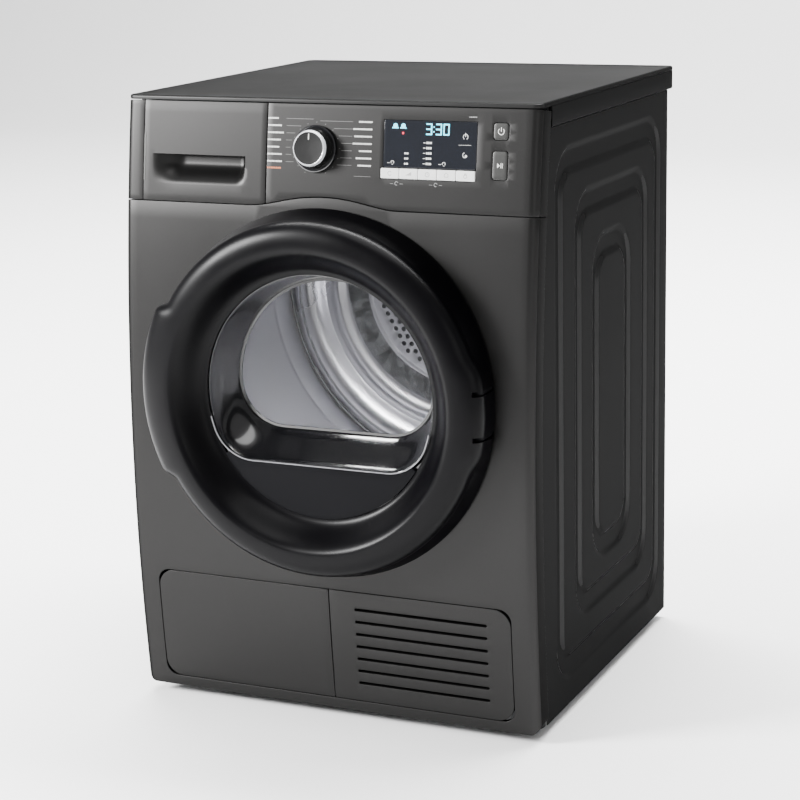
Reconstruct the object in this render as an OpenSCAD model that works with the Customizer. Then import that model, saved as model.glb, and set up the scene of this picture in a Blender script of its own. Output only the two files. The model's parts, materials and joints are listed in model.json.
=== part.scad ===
// Free-standing heat-pump clothes dryer with a round front door.
// +Z is up, the front faces -Y, and the origin is on the floor below the middle of the machine.

/* [Cabinet] */
// Overall width
cabinet_w = 600; // [596:2:608]
// Overall height with the feet screwed in
cabinet_h = 850; // [846:2:856]
// Depth from the belly of the front to the back edge of the worktop
cabinet_d = 600; // [596:2:604]
// Height of the worktop's rim
worktop_h = 33; // [30:1:34]
// Radius of the upright bow of the front
bow_r = 3000; // [2800:100:3600]
// Height of the foremost line of the bow
bow_z = 350; // [330:10:370]
// Depth of the front pieces' return around each side
wrap_d = 36; // [34:1:38]
// Clear height between the floor and the base
foot_h = 14; // [12:1:16]

/* [Door] */
// How far the door stands in front of the belly
door_proud = 50; // [48:1:54]
// Outer radius of the door ring
door_r = 248; // [246:1:249]
// Height of the door's axis
door_z = 460; // [458:1:462]
// Radius of the ring's inner edge
ring_inner_r = 166; // [164:1:168]
// Radius of the window
window_r = 146; // [143:1:148]

/* [Drum] */
// Outer radius of the drum
drum_r = 284; // [282:1:284]
// Length of the drum
drum_len = 392; // [384:2:392]
// Number of lifters
lifter_count = 3; // [2:1:3]

/* [Controls] */
// Height of the seam under the control panel
panel_seam_z = 710; // [708:1:711]
// Radius of the program knob
knob_r = 31; // [28:1:33]
// Number of slots in the air grille
slot_count = 7; // [5:1:8]

/* [Hidden] */
$fn = 96;

// Main planes
hw = cabinet_w / 2;
y_back = (cabinet_d + door_proud) / 2;
y_belly = y_back - cabinet_d;
y_door = y_belly - door_proud;
base_z = foot_h;
rim_z = cabinet_h - worktop_h;
sheet = 1.2;
skin = 3;
gap = 1.5;
corner_r = 12;
side_x = hw - 3;
rear_y = y_back - 19;
rim_y0 = -196;
far = 800;

// Bowed front
bow_cy = y_belly + bow_r;
bow_span = 20;
bow_fn = 1440;
function front_y(z) = bow_cy - sqrt(bow_r * bow_r - (z - bow_z) * (z - bow_z));
function lean(z) = asin((z - bow_z) / bow_r);

// Drum
drum_z = cabinet_h - worktop_h - 13 - drum_r;
drum_wall = 1.2;
drum_front_y = -186;
drum_rear_y = drum_front_y + drum_len;
bulkhead_y = drum_front_y - 14;
rear_plate_y = drum_rear_y + 4;
felt_r = drum_r - 1.5;

// Door
hinge_x = door_r - 12;
hinge_y = y_belly - 25;
ear_z = 30;
ear_t = 5;
pin_r = 3;
running = 0.06;
throat_r = 178;
latch_x = -220;
latch_y = y_belly + 24;
hole_r = 190;
shelf_z = door_z - 105;

// Lower panel
inset_x = 266;
inset_z0 = 29;
inset_z1 = 191;
inset_r = 18;
flap_r = 24;
flap_axis_z = inset_z0 + gap + 6;
flap_axis_y = front_y(flap_axis_z) + 3.5;
flap_pin_r = 1.2;
flap_boss_r = 2.3;
flap_bearings = [-232, -40];

// Controls
panel_top_z = cabinet_h - 6.6;
arch_r = door_r + 15.5;
drawer_x0 = -272;
drawer_x1 = -84;
knob_x = -12;
knob_z = 786;
display_x0 = 87;
display_x1 = 215;
display_z0 = 768;
display_z1 = 826;
option_count = 5;
option_x0 = 82;
option_x1 = 214;
option_z0 = 751;
option_z1 = 765;
button_x0 = 237;
button_x1 = 258;
start_z0 = 754;
start_z1 = 791;
power_z0 = 804;
power_z1 = 826;
button_t = 6;
button_gap = 0.5;

// Machinery in the base
motor_x = 165;
motor_z = 118;
pulley_r = 11;
idler_x = 60;
idler_z = 165;
idler_r = 14;
belt_y0 = -4;
belt_y1 = 4;
belt_t = 1.6;
roller_r = 36;
roller_angle = 38;
roller_x = (drum_r + roller_r + 0.4) * sin(roller_angle);
roller_z = drum_z - (drum_r + roller_r + 0.4) * cos(roller_angle);
compressor_x = 178;
compressor_y = -112;
fan_x = 150;
fan_y = -226;
fan_z = 108;
foot_x = hw - 40;
foot_y0 = -188;
foot_y1 = 268;
duct_x0 = -262;
duct_x1 = -14;
duct_top = 204;
latch_xs = [-222, -54];
latch_z = 122;
base_y0 = -229;

// Water tank
tank_x0 = -266;
tank_x1 = -120;
tank_z0 = 716;
tank_z1 = 806;
tank_y0 = -214;
tank_y1 = 176;

graphite = [0.25, 0.25, 0.26];
black = [0.05, 0.05, 0.055];
steel = [0.72, 0.73, 0.74];
plastic_grey = [0.45, 0.46, 0.47];
white = [0.9, 0.9, 0.9];
copper = [0.72, 0.45, 0.3];

// ---- Helpers ----

// Extrudes a (y, z) outline along x
module along_x(x0, x1)
  translate([x0, 0, 0]) rotate([90, 0, 90]) linear_extrude(x1 - x0) children();

// Extrudes an (x, z) outline along y
module along_y(y0, y1)
  translate([0, y1, 0]) rotate([90, 0, 0]) linear_extrude(y1 - y0) children();

// Extrudes an (x, y) outline along z
module along_z(z0, z1)
  translate([0, 0, z0]) linear_extrude(z1 - z0) children();

// Turns a (radius, y) outline about a line along y
module turned_y(x, z, angle = 360)
  translate([x, 0, z]) rotate([-90, 0, 0]) rotate_extrude(angle = angle) children();

module block(p, q)
  translate(p) cube([q[0] - p[0], q[1] - p[1], q[2] - p[2]]);

module rod_x(x0, x1, y, z, r)
  translate([x0, y, z]) rotate([0, 90, 0]) cylinder(r = r, h = x1 - x0);

module rod_y(x, y0, y1, z, r)
  translate([x, y0, z]) rotate([-90, 0, 0]) cylinder(r = r, h = y1 - y0);

module rod_z(x, y, z0, z1, r)
  translate([x, y, z0]) cylinder(r = r, h = z1 - z0);

module rod_disc(x, y0, y1, z, r, hole) difference() {
  rod_y(x, y0, y1, z, r);
  rod_y(x, y0 - 1, y1 + 1, z, hole);
}

module box2(x0, y0, x1, y1)
  translate([x0, y0]) square([x1 - x0, y1 - y0]);

module rounded2(x0, y0, x1, y1, r) {
  box2(x0 + r, y0, x1 - r, y1);
  box2(x0, y0 + r, x1, y1 - r);
  for (x = [x0 + r, x1 - r], y = [y0 + r, y1 - r])
    translate([x, y]) circle(r = r);
}

module disc2(x, y, r)
  translate([x, y]) circle(r = r);

// Part of a disc at and above a chord
module chord_disc2(x, z, r, chord_z)
  difference() {
    disc2(x, z, r);
    box2(x - r - 1, z - r - 1, x + r + 1, chord_z);
  }

// Part of a disc at and below a chord
module segment2(x, z, r, chord_z)
  intersection() {
    disc2(x, z, r);
    box2(x - r - 1, z - r - 1, x + r + 1, chord_z);
  }

// Sweeps a (radius, x) section along the bow of the front
module bow_sweep()
  translate([0, bow_cy, bow_z]) rotate([0, 90, 0]) rotate([0, 0, -90 - bow_span / 2])
    rotate_extrude(angle = bow_span, $fn = bow_fn) children();

// Section of a front piece that wraps round both sides of the cabinet
module wrap_section(inset, back) {
  box2(bow_r - wrap_d - back, inset - hw, bow_r - corner_r, hw - inset);
  box2(bow_r - corner_r - 1, corner_r - hw, bow_r - inset, hw - corner_r);
  for (side = [-1, 1])
    translate([bow_r - corner_r, side * (hw - corner_r)]) circle(r = corner_r - inset);
}

// Wrapped shell of the whole front, of the given thickness
module front_shell(thick)
  bow_sweep() difference() {
    wrap_section(0, 0);
    wrap_section(thick, 1);
  }

// Frame on the bowed front, with -y as the outward normal
module on_front(x, z)
  translate([x, front_y(z), z]) rotate([-lean(z), 0, 0]) children();

// Keeps what lies between two depths behind the bowed surface
module bow_cut(depth0, depth1)
  intersection() {
    children();
    along_x(-far, far) difference() {
      disc2(bow_cy, bow_z, bow_r - depth0, $fn = bow_fn);
      disc2(bow_cy, bow_z, bow_r - depth1, $fn = bow_fn);
    }
  }

// Everything behind a surface that lies a distance in front of the bow
module behind_bow(distance)
  along_x(-far, far) disc2(bow_cy, bow_z, bow_r + distance, $fn = bow_fn);

module arch_disc(r) along_y(-far, far) disc2(0, door_z, r, $fn = 192);

// Lines that touch two circles: the direction between them, the swing to the outer line's
// touching points, and the point of a circle at an angle
function toward(a, b) = atan2(b[1] - a[1], b[0] - a[0]);
function swing(a, ra, b, rb) = acos((ra - rb) / norm(b - a));
function at(c, r, angle) = [c[0] + r * cos(angle), c[1] + r * sin(angle)];

// ---- Cabinet ----

module base_tray() color(plastic_grey) {
  difference() {
    union() {
      block([-286, base_y0, base_z + 4], [286, 298, base_z + 8]);
      difference() {
        block([-286, base_y0, base_z + 4], [286, 298, base_z + 44]);
        block([-282, base_y0 + 4, base_z + 3], [282, 294, base_z + 45]);
      }
      for (x = [-foot_x, foot_x], y = [foot_y0, foot_y1])
        rod_z(x, y, base_z + 1, base_z + 40, 14);
      // Air duct round the heat exchangers
      for (x = [duct_x0, duct_x1]) {
        block([x - 3, base_y0, base_z + 6], [x, 186, 198]);
        block([x - 3, -194, 190], [x, 186, duct_top + 3]);
      }
      block([duct_x0 - 1, -194, duct_top], [duct_x1 - 1, 186, duct_top + 3]);
      // Scroll of the blower
      difference() {
        rod_y(motor_x, 192, 254, motor_z, 98);
        rod_y(motor_x, 195, 255, motor_z, 94);
        rod_y(motor_x, 191, 255, motor_z, 30);
        block([motor_x - 140, 195, motor_z + 20], [motor_x - 20, 255, motor_z + 120]);
      }
      // Motor cradle
      for (y = [30, 128])
        difference() {
          block([motor_x - 44, y, base_z + 6], [motor_x + 44, y + 6, motor_z - 20]);
          rod_y(motor_x, y - 1, y + 7, motor_z, 50.5);
        }
      rod_z(compressor_x, compressor_y, base_z + 6, 30, 50);
      // Post that carries the idler arm
      block([96, 12, base_z + 6], [108, 24, 90]);
      rod_y(102, -1, 24, 84, 4);
      // Bearings of the flap
      for (x = flap_bearings)
        difference() {
          along_x(x - 4, x + 4) {
            disc2(flap_axis_y, flap_axis_z, flap_boss_r);
            polygon([[flap_axis_y - 0.8, flap_axis_z + 2.1], [flap_axis_y + 1.2, flap_axis_z - 1.9],
              [base_y0 + 1, base_z + 28], [base_y0 + 1, base_z + 43]]);
          }
          rod_x(x - 5, x + 5, flap_axis_y, flap_axis_z, flap_pin_r + running);
        }
      // Ring round the cooling fan
      difference() {
        block([fan_x - 52, fan_y - 12, base_z + 6], [fan_x + 52, fan_y + 12, fan_z + 52]);
        rod_y(fan_x, fan_y - 13, fan_y + 13, fan_z, 47);
      }
      block([fan_x - 50, fan_y + 8, fan_z - 3], [fan_x + 50, fan_y + 12, fan_z + 3]);
      rod_y(fan_x, fan_y - 8, fan_y + 9, fan_z, 3);
    }
    for (x = [-foot_x, foot_x], y = [foot_y0, foot_y1])
      rod_z(x, y, base_z - 1, base_z + 41, 5 + running);
  }
}

// Outline of one embossed loop, in (y, z)
module bead2(y0, z0, y1, z1, r, in_y, in_z, grow)
  difference() {
    rounded2(y0 - grow, z0 - grow, y1 + grow, z1 + grow, r + grow);
    rounded2(y0 + in_y + grow, z0 + in_z + grow, y1 - in_y - grow, z1 - in_z - grow,
      max(r - in_y, 10));
  }

module beads2(grow) {
  bead2(-180, 52, 268, 786, 60, 28, 37, grow);
  bead2(-103, 122, 207, 721, 55, 24, 36, grow);
  bead2(-34, 185, 130, 652, 60, 26, 36, grow);
}

module side_panel() {
  bead_d = 4;
  edge_z = rim_z - 1;
  difference() {
    union() {
      difference() {
        along_x(side_x - sheet, side_x) box2(-252, base_z + 2, rear_y, edge_z);
        behind_front();
      }
      along_x(side_x - bead_d - sheet, side_x) beads2(sheet);
      block([side_x - 20, rear_y - sheet, base_z + 60], [side_x, rear_y, edge_z]);
      block([side_x - 8, -180, base_z + 2], [side_x, rear_y, base_z + 2 + sheet]);
    }
    along_x(side_x - bead_d, side_x + 1) beads2(0);
  }
}

// The space that the wrapped front pieces take
module behind_front()
  along_x(-far, far) difference() {
    box2(-far, 0, 0, cabinet_h);
    disc2(bow_cy, bow_z, bow_r - wrap_d - 0.6, $fn = bow_fn);
  }

module right_side_panel() color(graphite) side_panel();
module left_side_panel() color(graphite) mirror([1, 0, 0]) side_panel();

module rear_panel() color(plastic_grey) {
  z0 = base_z + 60;
  difference() {
    along_y(rear_y - 3, rear_y - 1.6) box2(4 - side_x, z0, side_x - 4, rim_z - 1);
    along_y(rear_y - 5, rear_y + 1) disc2(0, drum_z, 190);
    along_y(rear_y - 5, rear_y + 1) disc2(motor_x, motor_z + 20, 60);
  }
}

// Outline of the duct between the blower and the back of the drum
module duct_outline2(grow) {
  a = [0, drum_z];
  b = [motor_x, motor_z + 20];
  ra = 212 + grow;
  rb = 88 + grow;
  mid = toward(a, b);
  half = swing(a, ra, b, rb);
  disc2(a[0], a[1], ra);
  disc2(b[0], b[1], rb);
  polygon([at(a, ra - 1, mid - half), at(b, rb - 1, mid - half), at(b, rb - 1, mid + half),
    at(a, ra - 1, mid + half)]);
}

module rear_duct_cover() color(steel) difference() {
  union() {
    along_y(rear_y - 1.2, rear_y + 16) duct_outline2(0);
    along_y(rear_y - 1.2, rear_y) duct_outline2(12);
  }
  along_y(rear_y - 2, rear_y + 14.8) duct_outline2(-1.2);
}

// Outline of the front panel, with an arch over the door and round bottom corners
module front_outline2() {
  rounded2(-hw - 1, base_z, hw + 1, base_z + 100, 16);
  box2(-hw - 1, base_z + 50, hw + 1, panel_seam_z - 1);
  disc2(0, door_z, arch_r - 1, $fn = 192);
}

module front_panel() color(graphite) difference() {
  union() {
    intersection() {
      front_shell(sheet);
      along_y(-far, far) front_outline2();
    }
    // Flange along the bottom edge
    bow_cut(sheet / 2, 16) along_y(-far, 0) box2(20 - hw, base_z, hw - 20, base_z + sheet);
  }
  along_y(-far, far) disc2(0, door_z, hole_r);
  along_y(-far, far) rounded2(-inset_x, inset_z0, inset_x, inset_z1, inset_r);
  // Slots for the hinge ears and the striker
  for (side = [-1, 1])
    block([hinge_x - 9, -far, door_z + side * ear_z - 4], [hinge_x + 9, 0, door_z + side * ear_z + 4]);
  block([-213, -far, door_z - 22], [-196, 0, door_z + 22]);
}

module worktop() color(graphite) {
  front = front_y(cabinet_h - 4);
  difference() {
    along_z(rim_z + 0.4, cabinet_h) rounded2(-hw, front, hw, y_back, corner_r);
    // Hollow underside of the folded sheet
    along_z(rim_z - 1, cabinet_h - 2)
      rounded2(2 - hw, rim_y0, hw - 2, y_back - 2, corner_r - 2);
    // Step that rests on the control panel
    block([-hw - 1, front - 1, rim_z - 1], [hw + 1, rim_y0, cabinet_h - 6]);
  }
}

// ---- Controls ----

module control_panel() color(graphite) difference() {
  union() {
    difference() {
      front_shell(skin);
      along_y(-far, far) box2(-far, -far, far, panel_seam_z + 0.5);
      along_y(-far, far) box2(-far, panel_top_z, far, far * 2);
      // Opening for the water drawer
      block([drawer_x0, -far, 0], [drawer_x1, 0, cabinet_h]);
    }
    // Rail behind the top of the drawer front
    bow_cut(12, 16) along_y(-far, far) box2(3 - hw, 813, drawer_x1 + 30, panel_top_z - 2);
    bow_cut(skin - 0.5, 16) along_y(-far, far) {
      box2(drawer_x0 - 4, panel_seam_z + 20, drawer_x0 - 1, panel_top_z - 2);
      box2(drawer_x1 + 0.5, panel_seam_z + 20, drawer_x1 + 3.5, panel_top_z - 2);
    }
  }
  arch_disc(arch_r);
  on_front(knob_x, knob_z) rod_y(0, -20, 40, 0, 3.4);
  along_y(-far, -200) {
    rounded2(display_x0, display_z0, display_x1, display_z1, 3);
    rounded2(option_x0, option_z0, option_x1, option_z1, 2);
    rounded2(button_x0, power_z0, button_x1, power_z1, 4);
    rounded2(button_x0, start_z0, button_x1, start_z1, 4);
  }
}

module display_window() color(black)
  bow_cut(0, 2.6) along_y(-far, 0)
    rounded2(display_x0 + 0.3, display_z0 + 0.3, display_x1 - 0.3, display_z1 - 0.3, 3);

// A sprung key that follows the bow and stands a little proud of it
module key(x0, z0, x1, z1, r)
  bow_cut(-0.8, button_t) along_y(-far, 0)
    rounded2(x0 + button_gap, z0 + button_gap, x1 - button_gap, z1 - button_gap, r);

module power_button() color(graphite) key(button_x0, power_z0, button_x1, power_z1, 3.5);
module start_button() color(graphite) key(button_x0, start_z0, button_x1, start_z1, 3.5);

module option_button(i) {
  pitch = (option_x1 - option_x0) / option_count;
  color(white) key(option_x0 + i * pitch - (i > 0 ? 0.1 : 0), option_z0,
    option_x0 + (i + 1) * pitch + (i < option_count - 1 ? 0.1 : 0), option_z1, 1.5);
}

module option_button_1() option_button(0);
module option_button_2() option_button(1);
module option_button_3() option_button(2);
module option_button_4() option_button(3);
module option_button_5() option_button(4);

module program_knob() color(black) on_front(knob_x, knob_z) {
  turned_y(0, 0) polygon([[0, -23], [knob_r - 8, -23], [knob_r - 5, -21], [knob_r - 2, -7],
    [knob_r, -6], [knob_r, -1.4], [knob_r - 3, -1], [0, -1]]);
  rod_y(0, -2, 14, 0, 3);
}

// ---- Water drawer ----

module tank_outline2(grow)
  difference() {
    box2(tank_x0 - grow, tank_z0 - grow, tank_x1 + grow, tank_z1 + grow);
    disc2(0, drum_z, drum_r + 16 - grow);
  }

module tank_guide() color(plastic_grey) difference() {
  along_y(tank_y0 + 2, tank_y1 + 6) tank_outline2(2.6);
  along_y(tank_y0 + 1, tank_y1 + 4) tank_outline2(0.6);
}

module water_tank() color(white) difference() {
  along_y(tank_y0, tank_y1) tank_outline2(0);
  along_y(tank_y0 + 2.5, tank_y1 - 2.5) tank_outline2(-2.5);
  rod_z((tank_x0 + tank_x1) / 2, tank_y1 - 30, tank_z1 - 5, tank_z1 + 1, 14);
}

module drawer_front() color(graphite) {
  x0 = drawer_x0 + 0.5;
  x1 = drawer_x1 - gap;
  z0 = panel_seam_z + 0.5;
  z1 = panel_top_z;
  difference() {
    union() {
      bow_cut(0, skin) along_y(-far, 0) box2(x0, z0, x1, z1);
      bow_cut(1, 10) along_y(-far, 0) difference() {
        box2(x0, z0, x1, z1);
        box2(x0 + 2, z0 + 2, x1 - 2, z1 - 2);
      }
      // Wall of the finger recess
      bow_cut(1, 24) along_y(-far, 0) box2(-256, 735, -115, 789);
    }
    arch_disc(arch_r);
    bow_cut(-2, 21.5) along_y(-far, 0) rounded2(-252, 738, -119, 773, 4);
    bow_cut(6, 21.5) along_y(-far, 0) rounded2(-252, 738, -119, 785, 4);
  }
  // Arms that hold the tank
  for (x = [-250, -160])
    block([x, front_y(800) + 2, 797], [x + 26, tank_y0 - 0.3, 803]);
}

// ---- Drum and its supports ----

module drum_cylinder() color(steel) difference() {
  union() {
    rod_y(0, drum_front_y, drum_rear_y, drum_z, drum_r - 0.6);
    for (y = [drum_front_y, drum_front_y + 60, drum_rear_y - 68, drum_rear_y - 8])
      rod_y(0, y, y + 8, drum_z, drum_r);
  }
  rod_y(0, drum_front_y - 1, drum_rear_y + 1, drum_z, drum_r - drum_wall - 0.6);
}

module drum_lifters() color(plastic_grey)
  for (i = [0 : lifter_count - 1])
    translate([0, 0, drum_z]) rotate([0, -20 - i * 360 / lifter_count, 0])
      difference() {
        along_y(-150, 156) lifter2(0);
        along_y(-147, 153) lifter2(3);
      }

module lifter2(inset) {
  base = drum_r - 4.2;
  polygon([[base - inset, -30 + inset], [base - inset, 30 - inset], [base - 40, 11 - inset * 0.8],
    [base - 54 + inset, 7 - inset * 0.7], [base - 54 + inset, -7 + inset * 0.7],
    [base - 40, -11 + inset * 0.8]]);
}

// Pressed profile of the back wall: a convex ring, a groove and a flat centre
function pressing(r) = r > 238 ? 20 * sin((r - 238) * 180 / (felt_r - 5 - 238))
  : r > 190 ? -7 * sin((r - 190) * 180 / 48) : 0;

module rear_bulkhead() color(steel) {
  r_in = 146;
  r_out = felt_r - 5;
  steps = 30;
  face = drum_rear_y - 2;
  radii = [for (i = [0 : steps]) r_in + (r_out - r_in) * i / steps];
  difference() {
    union() {
      turned_y(0, drum_z) polygon(concat([for (r = radii) [r, face - pressing(r)]],
        [for (i = [steps : -1 : 0]) [radii[i], face + sheet - pressing(radii[i])]]));
      difference() {
        rod_y(0, face - 12, rear_plate_y + sheet, drum_z, r_out + sheet);
        rod_y(0, face - 13, rear_plate_y + sheet + 1, drum_z, r_out - 0.1);
      }
      difference() {
        along_y(rear_plate_y, rear_plate_y + sheet) box2(-287, 226, 287, rim_z - 6);
        rod_y(0, rear_plate_y - 1, rear_plate_y + 2, drum_z, r_out);
        along_y(rear_plate_y - 1, rear_plate_y + 2) box2(-290, 760, -204, cabinet_h);
      }
      // Axle studs of the rollers
      for (side = [-1, 1])
        rod_y(side * roller_x, drum_rear_y - 56, rear_plate_y + 0.5, roller_z, 5);
    }
  }
}

module air_grille() color(steel) {
  face = drum_rear_y - 6;
  difference() {
    turned_y(0, drum_z) polygon([[0, face], [134, face], [142, face + 3], [145.6, face + 5],
      [145.6, face + 6.2], [141, face + 4.4], [134, face + 1.4], [0, face + 1.4]]);
    for (ring = [1 : 5], i = [0 : 6 * ring - 1])
      rotate_about_drum(i * 60 / ring) rod_y(24 * ring, face - 1, face + 3, 0, 5);
  }
}

module rotate_about_drum(angle)
  translate([0, 0, drum_z]) rotate([0, -angle, 0]) children();

module drum_seals() color([0.8, 0.78, 0.7])
  for (y = [drum_front_y + 4, drum_rear_y - 12])
    difference() {
      rod_y(0, y, y + 10, drum_z, drum_r - drum_wall - 0.9);
      rod_y(0, y - 1, y + 11, drum_z, felt_r - 3.5);
    }

module front_bulkhead() color(plastic_grey) {
  shell = 3;
  r_in = felt_r - 7;
  difference() {
    union() {
      // Wall in front of the drum
      along_y(bulkhead_y, bulkhead_y + shell) difference() {
        union() {
          disc2(0, drum_z, felt_r - 2);
          box2(-284, 222, 284, drum_z);
          box2(-100, drum_z, 284, rim_z - 8);
        }
        chord_disc2(0, door_z, throat_r, shelf_z);
      }
      // Flange inside the drum's front edge
      difference() {
        rod_y(0, bulkhead_y, drum_front_y + 16, drum_z, felt_r - 3.8);
        rod_y(0, bulkhead_y - 1, drum_front_y + 17, drum_z, r_in);
      }
      // Collar behind the door
      difference() {
        rod_y(0, y_belly + 14, bulkhead_y + 1, door_z, throat_r + shell);
        rod_y(0, y_belly + 13, bulkhead_y + 2, door_z, throat_r);
      }
      // Shelf across the bottom of the throat
      block([-142, y_belly + 20, shelf_z - shell], [142, bulkhead_y + 2, shelf_z]);
      // Pocket of the lint filter
      block([-128, -226, 200], [128, bulkhead_y + shell, shelf_z]);
    }
    block([-121, -222.6, 204], [121, -202.4, shelf_z + 30]);
    // The air leaves the pocket downwards
    block([-110, -220, 190], [110, -204, 205]);
    // Room for the water tank
    along_y(-240, 0) tank_outline2(4);
  }
}

module door_seal() color(black) difference() {
  rod_y(0, y_belly - 3.6, y_belly + 13.7, door_z, hole_r - 1);
  rod_y(0, y_belly - 5, y_belly + 15, door_z, hole_r - 8);
}

module roller(side) {
  difference() {
    union() {
      rod_y(side * roller_x, drum_rear_y - 50, drum_rear_y - 28, roller_z, roller_r);
      rod_y(side * roller_x, drum_rear_y - 53, drum_rear_y - 25, roller_z, 12);
    }
    rod_y(side * roller_x, drum_rear_y - 60, drum_rear_y - 20, roller_z, 5 + running);
  }
}

module left_roller() color(black) roller(-1);
module right_roller() color(black) roller(1);

// Straight stretch of belt between two tangent points, a little thinner than the arcs it meets
module belt_span(p, q) {
  along = q - p;
  thick = belt_t - 0.2;
  translate([p[0], 0, p[1]]) rotate([0, -atan2(along[1], along[0]), 0])
    translate([0, belt_y0 + 0.1, -thick / 2]) cube([norm(along), belt_y1 - belt_y0 - 0.2, thick]);
}

// Part of the belt that lies on a wheel, from one angle to another
module belt_arc(c, r, from, to)
  translate([c[0], 0, c[1]]) rotate([0, 0.3 - from, 0]) rotate([90, 0, 0])
    translate([0, 0, -belt_y1]) rotate_extrude(angle = to - from + 0.6)
      box2(r - belt_t / 2, 0, r + belt_t / 2, belt_y1 - belt_y0);

module drive_belt() color(black) {
  d = [0, drum_z];
  m = [motor_x, motor_z];
  k = [idler_x, idler_z];
  slack = 0.5 + belt_t / 2;
  rd = drum_r - 0.6 + slack;
  rm = pulley_r + slack;
  rk = idler_r + slack;
  // Tight span on the right, from the drum to the motor pulley
  right_out = toward(d, m) + swing(d, rd, m, rm);
  belt_span(at(m, rm, right_out), at(d, rd, right_out));
  // Slack span: pulley to idler crosses over, idler to drum runs straight
  cross = toward(m, k) + acos((rm + rk) / norm(k - m));
  left_out = toward(d, k) - acos((rd + rk) / norm(k - d));
  belt_span(at(m, rm, cross), at(k, rk, cross + 180));
  belt_span(at(k, rk, left_out + 180), at(d, rd, left_out));
  belt_arc(d, rd, right_out, left_out + 360);
  belt_arc(m, rm, cross, right_out + 360);
  belt_arc(k, rk, cross - 180, left_out + 180);
}

// ---- Machinery ----

module motor() color(steel) difference() {
  union() {
    rod_y(motor_x, 24, 146, motor_z, 46);
    rod_y(motor_x, 34, 44, motor_z, 50);
    rod_y(motor_x, 126, 136, motor_z, 50);
    rod_y(motor_x, 18, 152, motor_z, 16);
  }
  rod_y(motor_x, 0, 170, motor_z, 6 + running);
}

module motor_shaft() color(steel) {
  rod_y(motor_x, -10, 240, motor_z, 6);
  difference() {
    rod_y(motor_x, belt_y0 - 4, belt_y1 + 4, motor_z, pulley_r + 3);
    difference() {
      rod_y(motor_x, belt_y0 - 0.6, belt_y1 + 0.6, motor_z, pulley_r + 4);
      rod_y(motor_x, belt_y0 - 1, belt_y1 + 1, motor_z, pulley_r);
    }
  }
}

module blower_wheel() color(black) {
  blades = 24;
  rod_disc(motor_x, 238, 242, motor_z, 84, 6.1);
  rod_disc(motor_x, 212, 238, motor_z, 14, 6.1);
  rod_disc(motor_x, 204, 208, motor_z, 84, 62);
  for (i = [0 : blades - 1])
    translate([motor_x, 0, motor_z]) rotate([0, i * 360 / blades, 0]) translate([72, 0, 0])
      rotate([0, 35, 0]) translate([-9, 207.5, -0.8]) cube([18, 31, 1.6]);
}

module idler_arm() color(steel) {
  difference() {
    union() {
      rod_y(102, 6, 10, 84, 9);
      along_y(6, 10) polygon([[94, 80], [110, 88], [idler_x + 7, idler_z + 3],
        [idler_x - 7, idler_z - 3]]);
      rod_y(idler_x, 6, 10, idler_z, 8);
    }
    rod_y(102, 5, 11, 84, 4 + running);
  }
  rod_y(idler_x, -8, 7, idler_z, 3);
}

module idler_pulley() color(black)
  rod_disc(idler_x, -6, 5.6, idler_z, idler_r, 3 + running);

module cooling_fan() color(black) {
  rod_disc(fan_x, fan_y - 9, fan_y + 6, fan_z, 17, 3 + running);
  for (i = [0 : 6])
    translate([fan_x, fan_y - 1.5, fan_z]) rotate([0, i * 360 / 7, 0]) translate([16, 0, 0])
      rotate([32, 0, 0]) translate([0, -1, -8]) cube([27, 2, 16]);
}

module compressor() color([0.12, 0.12, 0.13]) {
  r = 58;
  translate([compressor_x, compressor_y, 0]) rotate_extrude() difference() {
    union() {
      box2(0, 52, r, 178);
      intersection() {
        disc2(0, 178 - 62, 85);
        box2(0, 178, r, 230);
      }
      intersection() {
        disc2(0, 52 + 62, 80);
        box2(0, 30.5, r, 52);
      }
    }
    box2(-100, 0, 0, 300);
  }
  rod_z(compressor_x - 20, compressor_y + 18, 180, 208, 5);
}

// Finned heat exchanger between two end plates
module fin_pack(y0, y1, z0, z1) {
  x0 = duct_x0 + 10;
  x1 = duct_x1 - 14;
  fins = 26;
  along_z(z0, z1) {
    for (i = [0 : fins - 1])
      box2(x0 + i * (x1 - x0 - 1) / (fins - 1), y0, x0 + i * (x1 - x0 - 1) / (fins - 1) + 1, y1);
    for (y = [y0 + 20, (y0 + y1) / 2, y1 - 20])
      box2(x0, y - 4, x1, y + 4);
  }
  for (x = [x0, x1 - 2])
    block([x, y0 - 3, z0 - 3], [x + 2, y1 + 3, z1 + 3]);
}

module evaporator() color([0.75, 0.76, 0.78]) fin_pack(-140, -52, 36, 192);
module condenser() color([0.7, 0.6, 0.5]) fin_pack(-30, 96, 36, 192);

// Pipe through points that follow the axes
module pipe(points, r) {
  for (i = [0 : len(points) - 2]) {
    p = points[i];
    q = points[i + 1];
    d = q - p;
    translate(p) rotate(d[0] != 0 ? [0, d[0] > 0 ? 90 : -90, 0]
      : d[1] != 0 ? [d[1] > 0 ? -90 : 90, 0, 0] : [d[2] > 0 ? 0 : 180, 0, 0])
        cylinder(r = r, h = norm(d));
  }
  for (i = [1 : len(points) - 2])
    translate(points[i]) sphere(r = r, $fn = 32);
}

module refrigerant_pipes() color(copper) {
  top = 212;
  x = compressor_x - 20;
  y = compressor_y + 18;
  pipe([[x, y, top - 3.6], [x, y, top + 6], [x, 60, top + 6], [-6, 60, top + 6], [-6, 60, 150],
    [duct_x1 + 0.4, 60, 150]], 4);
  pipe([[duct_x1 + 0.4, -100, 150], [-6, -100, 150], [-6, -100, 60], [110, -100, 60],
    [compressor_x - 58.4, -100, 60]], 4);
}

module condensate_pump() color(plastic_grey) {
  x = -218;
  block([x - 22, 214, base_z + 10], [x + 22, 262, 84]);
  rod_z(x, 238, 84, 104, 16);
  pipe([[x, 262, 60], [x, 284, 60], [x, 284, 790], [x, 190, 790], [x, tank_y1 + 6.4, 790]], 7);
}

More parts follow.
